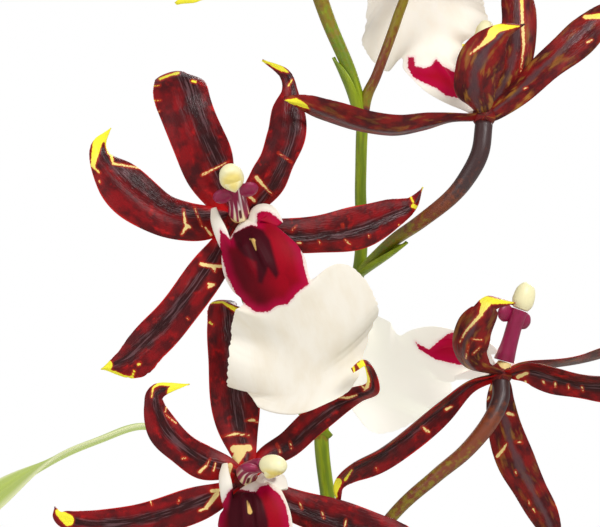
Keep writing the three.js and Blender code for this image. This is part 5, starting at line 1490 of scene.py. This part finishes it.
def nearest(pixels, start, end):
    """The distance to the stretch from start to end, and the share of it where the nearest place is."""
    start, end = np.array(start, float), np.array(end, float)
    reach = end - start
    share = np.clip((pixels - start) @ reach / max(reach @ reach, 1e-9), 0, 1)
    return np.linalg.norm(pixels - start - share[..., None] * reach, axis=-1), share


def inside_strokes(pixels, strokes):
    """Millimetres inside the nearest stroke, which has a half width at each of its points."""
    inside = np.full(pixels.shape[:-1], FAR_OUTSIDE)
    for stroke in strokes:
        for (*start, wide), (*end, narrow) in zip(stroke, stroke[1:]):
            distance, share = nearest(pixels, start, end)
            inside = np.maximum(inside, wide + (narrow - wide) * share - distance)
    return inside * PIXEL


def inside_outline(pixels, outline):
    """Millimetres inside a closed outline, below zero outside it."""
    distance = np.full(pixels.shape[:-1], np.inf)
    odd = np.zeros(pixels.shape[:-1], bool)
    x, y = pixels[..., 0], pixels[..., 1]
    for (x1, y1), (x2, y2) in zip(outline, outline[1:] + outline[:1]):
        distance = np.minimum(distance, nearest(pixels, (x1, y1), (x2, y2))[0])
        if y1 != y2:
            odd ^= ((y1 > y) != (y2 > y)) & (x < x1 + (x2 - x1) * (y - y1) / (y2 - y1))
    return np.where(odd, distance, -distance) * PIXEL


# Pieces


def turned(turn):
    """The turn of a repeated bloom about the upright, right and out axes, in degrees."""
    right, up, out = (math.radians(turn.get(axis, 0)) for axis in ("right", "up", "out"))
    whole = Matrix.Rotation(up, 3, "Y") @ Matrix.Rotation(right, 3, "X") @ Matrix.Rotation(out, 3, "Z")
    return np.array(whole)


def frayed(t, rng, coarse, fine, start):
    """The share of its full width that a margin keeps, row by row, ragged from start to its tip."""
    window = np.hanning(FRAY_ROWS)
    notches = rng.normal(size=len(t) + FRAY_ROWS - 1)
    ragged = np.convolve(notches, window / window.sum(), "valid")
    sharp = rng.normal(size=len(t))
    grow = np.clip((t - start) / FRAY_RISE, 0, 1)
    return 1 - np.abs(ragged * coarse + sharp * fine) * grow


def ragged_sides(blade, rng, kind):
    """The share of its full width that each side of a blade keeps."""
    left = frayed(blade.t, rng, *FRAY[kind])[:, None]
    right = frayed(blade.t, rng, *FRAY[kind])[:, None]
    return np.where(blade.share < 0, left, right)


def midrib(blade, rib):
    """The groove along the middle of a blade's front."""
    return -rib["deep"] * np.exp(-((blade.share * blade.width / rib["wide"]) ** 2))


def tepal_rings(blade, index, rng):
    """A tepal with a sunken midrib and waved, ragged margins."""
    phase = MARGIN_WAVE["count"] * blade.t[:, None] + MARGIN_WAVE["next"] * index
    phase = phase + MARGIN_WAVE["side"] * np.sign(blade.share)
    grow = np.sin(math.pi * blade.t)[:, None]
    wave = 1 + MARGIN_WAVE["deep"] * np.sin(2 * math.pi * phase) * grow
    fray = ragged_sides(blade, rng, "tepal") * wave
    return blade.rings(TEPAL_THICK, lift=midrib(blade, TEPAL_RIB) * grow, fray=fray)


def pale_marks(strokes, pixels, to_tip):
    """How far inside a pale mark each place lies. A tepal with no strokes has a pale tip alone."""
    return inside_strokes(pixels, strokes) if strokes else np.maximum(NO_MARK, TIP_LENGTH - to_tip)


def receptacle(form):
    """The knob behind the bloom."""
    knob = RECEPTACLE["radius"]
    line = [[0, 0, -RECEPTACLE["back"] - knob + knob * stop] for stop in RECEPTACLE["stops"]]
    sizes = [knob * size for size in RECEPTACLE["sizes"]]
    rings, _, flat = limb_rings("receptacle", line, sizes, face=(0, 1, 0))
    form.skin(rings, flat=flat, face=-1, share=RED_SHARE, midrib_and_sheen=RED_SHARE, run=RED_RUN, pale=NO_MARK)


def neck(form, column):
    """The short neck from the receptacle to just below the column, paler towards its end."""
    foot, after = np.array(column["line"][:2], float)
    end = foot - unit(after - foot) * GAP
    line = [(end * stop).tolist() for stop in NECK["stops"]]
    rings, t, flat = limb_rings("receptacle", line, NECK["wide"], face=column["face"])
    pale = NECK["paler"] * t - NECK["dark"]
    form.skin(rings, flat=flat, face=1, share=RED_SHARE, midrib_and_sheen=RED_SHARE, run=t * NECK["run"], pale=pale)


def tepals(name, bloom, shown, grid):
    """All five tepals, grown together at the receptacle."""
    form = Form()
    for index, (tepal, shape) in enumerate(bloom["tepals"].items()):
        rng = np.random.default_rng(SEED + 10 * ord(name) + index)  # every tepal has its own notches
        own = {"face": [0, 0, 1], "phase": index * TEPAL_BEAT, "beat": index + 5 * ord(name)}
        blade = Blade({**TEPAL_WAVE, **own, **shape}, *grid)
        rings = tepal_rings(blade, index, rng)
        strokes = MARKS_SEEN[bloom["like"]].get(tepal, [])
        to_tip = blade.run[-1] - blade.run
        form.skin(
            rings,
            share=blade.share,
            # The dark band with its painted sheen lies off the middle by the tepal's shade.
            midrib_and_sheen=blade.share - shape.get("shade", TEPAL_SHEEN_SHIFT),
            run=blade.run,
            flat=blade.flat,
            face=blade.face,
            pale=pale_marks(strokes, seen_at(rings + shown), to_tip),
            tip=np.clip((TIP_FADE["from"] - to_tip) / TIP_FADE["over"], 0, 1),
        )
    receptacle(form)
    neck(form, bloom["column"])
    return form


def lip_marks(seen, pixels):
    """Millimetres inside each of the lip's markings that the photograph shows."""
    found = {}
    for mark in ("throat", "callus", "spot"):
        inside = inside_strokes if mark == "spot" else inside_outline
        far = np.full(pixels.shape[:-1], FAR_OUTSIDE)
        found[mark] = inside(pixels, seen[mark]) if mark in seen else far
    return found


def lip_form(bloom, shown, grid):
    """The lip: a claw, an arched crimson throat with two keels, and a broad, ruffled white blade."""
    shape = bloom["lip"]
    half = [value * shape.get("size", 1) for value in LIP_HALF]
    full = {"cup": LIP_CUP, "sweep": LIP_SWEEP, "wave": LIP_WAVE, "waves": LIP_WAVES, **shape, "half": half}
    blade = Blade(full, *grid)
    share, t = blade.share, blade.t[:, None]
    keels = sum(np.exp(-(((share - side) / KEELS["wide"]) ** 2)) for side in (-KEELS["at"], KEELS["at"]))
    rise = np.clip((t - KEELS["from"]) / KEELS["rise"], 0, 1)
    fall = np.clip((KEELS["to"] - t) / KEELS["fall"], 0, 1)
    fray = ragged_sides(blade, np.random.default_rng(SEED), "lip")
    rings = blade.rings(LIP_THICK, lift=keels * (rise * fall) * KEELS["high"], fray=fray)
    seen = LIP_SEEN[bloom["like"]]
    lit = LIP_LIT.get(bloom["like"], 0)
    form = Form()
    form.skin(rings, share=share, flat=blade.flat, lit=lit, **lip_marks(seen, seen_at(rings + shown)))
    place, *directions = (value[0] for value in spine(full["spine"], full["face"], [SHOULDERS_AT]))
    for shoulder in SHOULDERS[: bloom.get("shoulders", len(SHOULDERS))]:
        line = place + np.array(shoulder["line"]) @ np.array(directions)
        rings, _, flat = limb_rings("shoulder", line, shoulder["wide"], shoulder["deep"], directions[1])
        marked = lip_marks(seen, seen_at(rings + shown))
        form.skin(rings, flat=flat, lit=lit, share=shoulder["share"], **marked)
    return form


def wings(form, line, face):
    """A rounded lobe on each side of the column, near its top."""
    spot, side, front, _ = (value[0] for value in spine(line, face, [WING["at"]]))
    wide, tall, deep = WING["half"]
    stops = np.array(WING["stops"])
    sizes = np.sqrt(1 - stops**2)
    for hand in (-1, 1):
        centre = spot + side * WING["apart"] * hand + front * WING["forward"]
        wing_line = centre + np.cross(front, side) * tall * stops[:, None]
        rings, t, flat = limb_rings("wing", wing_line, wide * sizes, deep * sizes, front)
        form.skin(rings, t=t, flat=flat, front=-1, slit=NO_MARK)


def column_form(bloom):
    """The column, swollen to its front at the foot, and its two wings."""
    line, face = bloom["column"]["line"], bloom["column"]["face"]
    form = Form()
    rings, t, flat = limb_rings("column", line, COLUMN_WIDE, COLUMN_DEEP, face)
    places, _, front, _ = spine(line, face, t[:, 0])
    facing = np.sum(unit(rings - places[:, None]) * front[:, None], -1)
    foot = COLUMN_FOOT["deep"] * np.exp(-((t / COLUMN_FOOT["share"]) ** 2)) * np.maximum(facing, 0)
    run = flat[..., 1]
    across = np.sqrt(np.maximum(1 - facing**2, 0)) * COLUMN_WIDE[0]
    across = across + np.where(facing > 0, 0, COLUMN_SLIT["behind"])
    lengthwise = np.minimum(run - COLUMN_SLIT["from"], COLUMN_SLIT["to"] - run)
    slit = np.minimum(COLUMN_SLIT["wide"] - across, lengthwise)
    form.skin(rings + front[:, None] * foot[..., None], t=t, flat=flat, front=facing, slit=slit)
    wings(form, line, face)
    return form


def cap_form(bloom):
    """The anther cap, like a tall helmet whose beak hooks forward over the column's front."""
    line, face = bloom["column"]["line"], bloom["column"]["face"]
    place, _, front, onward = (value[0] for value in spine(line, face, [1]))
    form = Form()
    for lobe in CAP:
        lobe_line = [(place + onward * on + front * ahead).tolist() for on, ahead in lobe["line"]]
        rings, t, flat = limb_rings("cap", lobe_line, lobe["wide"], lobe["deep"], front)
        facing = np.maximum(unit(rings - rings.mean(axis=1, keepdims=True)) @ front, 0)
        form.skin(rings, flat=flat, share=np.sin(math.pi * t) * facing)
    return form


def blooms(looks):
    repeats = {name: {**BLOOMS[repeat["like"]], **repeat} for name, repeat in REPEATS.items()}
    for name, bloom in {**BLOOMS, **repeats}.items():
        bloom = {"like": name, **bloom}
        fine = name in DETAILED
        shown = np.array(BLOOMS[bloom["like"]]["centre"], float)
        forms = {
            "tepals": (tepals(name, bloom, shown, TEPAL_GRIDS[fine]), "tepal"),
            "lip": (lip_form(bloom, shown, LIP_GRIDS[fine]), "lip"),
            "column": (column_form(bloom), "column"),
            "anther_cap": (cap_form(bloom), "anther_cap"),
        }
        turn = turned(bloom["turn"]) if "turn" in bloom else None
        for part, (form, slot) in forms.items():
            form.piece(f"bloom_{name}_{part}", slot, looks[slot], turn, bloom["centre"])


def leaves(look):
    for index, (name, shape) in enumerate(LEAVES.items()):
        shares = np.linspace(0, 1, len(shape["spine"]))
        size = LEAF_SIZE.get(name, 1)
        half = (along(LEAF_HALF, shares) * size).tolist()
        cup = along(LEAF_CUP, shares).tolist()
        blade = Blade({"half": half, "cup": cup, "beat": index, **shape}, *LEAF_GRID)
        rings = blade.rings(LEAF_THICK, lift=midrib(blade, LEAF_RIB))
        form = Form()
        form.skin(
            rings, share=blade.share, flat=blade.flat, face=blade.face, pale_glow=float(name == PALE_GLOW_LEAF)
        )
        form.piece(f"leaf_{name}", "leaf", look)


def stem_brown(t, up):
    """How brown the stem is, with a ring at each joint."""
    brown = along(STEM_BROWN, t[:, 0])[:, None] + 0 * up
    for height, ring in zip(JOINT["heights"], JOINT["brown"]):
        brown = brown + ring * np.exp(-(((up - height) / JOINT["wide"]) ** 2))
    return brown


def flower_spike(look):
    form = Form()
    rings, t, flat = limb_rings("stem", STEM, STEM_RADIUS)
    form.skin(rings, flat=flat, brown=stem_brown(t, rings[..., 1]))
    for name, line in STALKS.items():
        kind = "bud" if name.startswith("bud") else "bloom"
        rings, t, flat = limb_rings("stalk", line, STALK_RADIUS[kind])
        brown = along(STALK_BROWN.get(name, BUD_STALK_BROWN), t[:, 0])[:, None]
        form.skin(rings, flat=flat, brown=brown)
    for shape in BRACTS.values():
        blade = Blade({"half": BRACT["half"], "cup": BRACT["cup"], **shape}, *BRACT_GRID)
        form.skin(blade.rings(BRACT["thick"]), flat=blade.flat, brown=BRACT["brown"])
    form.piece("flower_spike", "flower_stem", look)


def ribbed(t, turn):
    """A pseudobulb's faint lengthwise ribs, which fade at its foot and top."""
    return 1 + RIBS["deep"] * np.sin(turn * RIBS["count"]) * np.sin(math.pi * t)


def pseudobulbs(look):
    for name, bulb in BULBS.items():
        foot, top = np.array(bulb["foot"], float), np.array(bulb["top"], float)
        line = [(foot + (top - foot) * share).tolist() for share in BULB_STOPS]
        wide = [share * bulb["wide"] for share in BULB_WIDE]
        deep = [share * bulb["deep"] for share in BULB_DEEP]
        rings, t, flat = limb_rings("bulb", line, wide, deep, swell=ribbed)
        form = Form()
        form.skin(rings, t=t, flat=flat)
        form.piece(f"pseudobulb_{name}", "pseudobulb", look)


def roots(look):
    form = Form()
    rings, _, flat = limb_rings("rhizome", RHIZOME_LINE, RHIZOME_RADIUS)
    form.skin(rings, flat=flat, woody=1)
    for line in ROOTS:
        rings, _, flat = limb_rings("root", line, ROOT_RADIUS)
        form.skin(rings, flat=flat, woody=0)
    form.piece("rhizome_and_roots", "root", look)


def seam_at(turn):
    """One on a bud's seams and less between them."""
    return np.abs(np.cos(turn * SEAMS["count"] / 2))


def seamed(t, turn):
    """A bud's three closed sepals, with a groove where each two meet."""
    return 1 - SEAMS["deep"] * seam_at(turn) ** SEAMS["narrow"] + 0 * t


def buds(look):
    turn = 2 * math.pi * np.arange(RINGS["bud"][1])[None, :] / RINGS["bud"][1]
    for name, bud in BUDS.items():
        rings, _, flat = limb_rings("bud", bud["line"], bud["wide"], swell=seamed)
        form = Form()
        form.skin(rings, flat=flat, seam=seam_at(turn))
        form.piece(name, "bud", look)


def corner_curve(before, corner, after, reach):
    """A short curve that takes the place of a corner."""
    ends = []
    for other in (before, after):
        length = np.linalg.norm(other - corner)
        ends.append(corner + (other - corner) * min(MOST_ROUND, reach / length))
    for share in CORNER_STOPS:
        yield (1 - share) ** 2 * ends[0] + 2 * share * (1 - share) * corner + share**2 * ends[1]


def rounded(profile, reach, longest):
    """A profile with a short curve at each of its corners, and no steps over the longest."""
    profile = [np.array(point, float) for point in profile]
    points = [profile[0]]
    for corners in zip(profile, profile[1:], profile[2:]):
        points.extend(corner_curve(*corners, reach))
    points.append(profile[-1])
    fine = [points[0]]
    for start, end in zip(points, points[1:]):
        steps = max(1, math.ceil(np.linalg.norm(end - start) / longest))
        fine.extend(start + (end - start) * (step + 1) / steps for step in range(steps))
    return np.array(fine)


def pot_profile():
    """Out along the base, up the outside, over the rim, down the inside and in over the floor."""
    height, base, shoulder, rim, wall = (POT[key] for key in ("height", "base", "shoulder", "rim", "wall"))
    band = height - POT["rim_depth"]
    edge, middle, lean, floor_up = (POT[key] for key in ("edge", "middle", "lean", "floor"))
    crown = height - POT["crown"]
    corners = [
        (middle, 0), (base - edge, 0), (base, edge), (shoulder, band), (rim - lean, band),
        (rim, band + edge), (rim + lean, crown), (rim - POT["crown_edge"], height),
        (rim - wall + POT["crown_edge"], height), (rim - wall - POT["inner_lean"], crown),
        (shoulder - wall, band - POT["ledge"]), (base - wall + lean, floor_up), (middle, floor_up),
    ]
    return rounded(corners, POT["round"], POT["rows"])


def pot_shell():
    """The turned pot, with faint throwing lines outside."""
    profile = pot_profile()
    across, up = profile[:, 0, None], profile[:, 1, None]
    turn = 2 * math.pi * np.arange(POT["sides"])[None, :] / POT["sides"]
    outer = np.arange(len(profile)) < np.argmax(profile[:, 1])
    close, wide = POT["rings"]
    lines = np.sin(up * close) * 0.5 + np.sin(up * wide + POT["drift"] * np.sin(turn)) * 0.5
    radius = across + POT["wobble"] * lines * (outer[:, None] & (up > POT["plain_foot"]))
    shell = Form()
    shell.skin(np.stack(np.broadcast_arrays(radius * np.cos(turn), up, -radius * np.sin(turn)), -1))
    return shell


def drain_holes():
    """Upright rods where the drain holes are cut."""
    drains = Form()
    for index in range(POT["drains"]):
        angle = (index + 0.5) * 2 * math.pi / POT["drains"]
        right, out = POT["drain_ring"] * math.cos(angle), POT["drain_ring"] * math.sin(angle)
        line = [[right, up, out] for up in POT["cut"]]
        drains.skin(limb_rings("drain", line, POT["drain"])[0])
    return drains


def clay_pot(look):
    pot = placed("pot", pot_shell().mesh("pot"))
    holes = placed("holes", drain_holes().mesh("holes"))
    cut = pot.modifiers.new("drains", "BOOLEAN")
    cut.object = holes
    cut.operation = "DIFFERENCE"
    cut.solver = "EXACT"
    places, faces, _ = applied(pot, holes)
    form = Form()
    form.add(places, faces, flat=places)
    form.piece("clay_pot", "clay", look, sharp=POT["sharp"])


def planted():
    """Places along all that stands or creeps in the bark, each with its radius."""
    creeping = [(RHIZOME_LINE, RHIZOME_RADIUS), *((line, ROOT_RADIUS) for line in ROOTS)]
    standing = [(STEM, STEM_RADIUS[0]), *((leaf["spine"], LEAF_CLEAR) for leaf in LEAVES.values())]
    found = []
    for lines, kind in ((creeping, "creeping"), (standing, "standing")):
        stops = np.linspace(0, 1, PLANTED_STOPS[kind])
        for line, radius in lines:
            found += [(*place, radius) for place in line_through(line, stops)[0]]
    for bulb in BULBS.values():
        places = np.linspace(bulb["foot"], bulb["top"], PLANTED_STOPS["bulb"])
        found += [(*place, bulb["wide"]) for place in places]
    return np.array(found)


def boxy(t, turn):
    """Turns an oval section into a box with soft corners."""
    power = CHIPS["bevel"]
    return (np.abs(np.cos(turn)) ** power + np.abs(np.sin(turn)) ** power) ** (-1 / power) + 0 * t


def loose_chips(form):
    """Small chips scattered over the bed, clear of its rim and of what is planted in it."""
    rng = np.random.default_rng(SEED)
    taken = planted()
    for index in range(CHIPS["count"]):
        ring = math.sqrt((index + 0.5) / CHIPS["count"])
        long = rng.uniform(*CHIPS["long"])
        clear = long / 2 + CHIPS["apart"]
        reach = (BARK["inside"] - clear) * ring
        angle = index * GOLDEN_ANGLE
        up = BARK["top"] + rng.uniform(0, CHIPS["pile"]) - CHIPS["fall"] * ring
        spot = np.array([reach * math.cos(angle), up, reach * math.sin(angle)])
        heading, tilt = rng.uniform(0, math.pi), rng.uniform(-CHIPS["tilt"], CHIPS["tilt"])
        shares = rng.uniform(CHIPS["least"], 1, len(CHIPS["stops"]))
        if np.min(np.linalg.norm(taken[:, :3] - spot, axis=1) - taken[:, 3]) < clear:
            continue
        level = math.cos(tilt)
        onward = np.array([math.cos(heading) * level, math.sin(tilt), math.sin(heading) * level])
        line = [(spot + onward * long * stop).tolist() for stop in CHIPS["stops"]]
        sizes = long * shares * CHIPS["taper"]
        wide, deep = sizes * CHIPS["wide"], sizes * CHIPS["deep"]
        rings, _, flat = limb_rings("chip", line, wide, deep, (0, 1, 0.1), swell=boxy)
        form.skin(rings, grain=flat + index * CHIPS["grain_apart"], tone=rng.uniform(0, 1))


def bark(look):
    """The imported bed, eaten into a rough surface everywhere inside its plain form, and loose chips."""
    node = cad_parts["bark"]
    plain = node.data.copy()
    plain.transform(node.matrix_world)
    bed = placed("bed", plain)
    remesh = bed.modifiers.new("remesh", "REMESH")
    remesh.mode = "VOXEL"
    remesh.voxel_size = BARK["voxel"] / METRE
    places, faces, normals = applied(bed)
    pits = [abs(noise.fractal(Vector(place) * BARK["pits"], *BARK["fractal"])) for place in places]
    tone = [noise.noise(Vector(place) * BARK["tones"]) + 0.5 for place in places]
    places = places - normals * (BARK["least"] + BARK["eaten"] * np.array(pits))[:, None]
    form = Form()
    form.add(places, faces, grain=places[:, [1, 0, 2]], tone=np.clip(tone, 0, 1))
    loose_chips(form)
    form.piece("bark", "bark", look, sharp=BARK["sharp"])


def main():
    viewpoint()
    floor()
    lights()
    surroundings()
    blooms({
        "tepal": petal_finish(),
        "lip": lip_finish(),
        "column": column_finish(),
        "anther_cap": cap_finish(),
    })
    flower_spike(stem_finish())
    leaves(leaf_finish())
    pseudobulbs(bulb_finish())
    roots(root_finish())
    buds(bud_finish())
    clay_pot(clay_finish())
    bark(bark_finish())


main()

VISUAL_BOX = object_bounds()
boxes = {"cad": CAD_BOX, "visual": VISUAL_BOX}
{name: [list(corner) for corner in box] for name, box in boxes.items()}
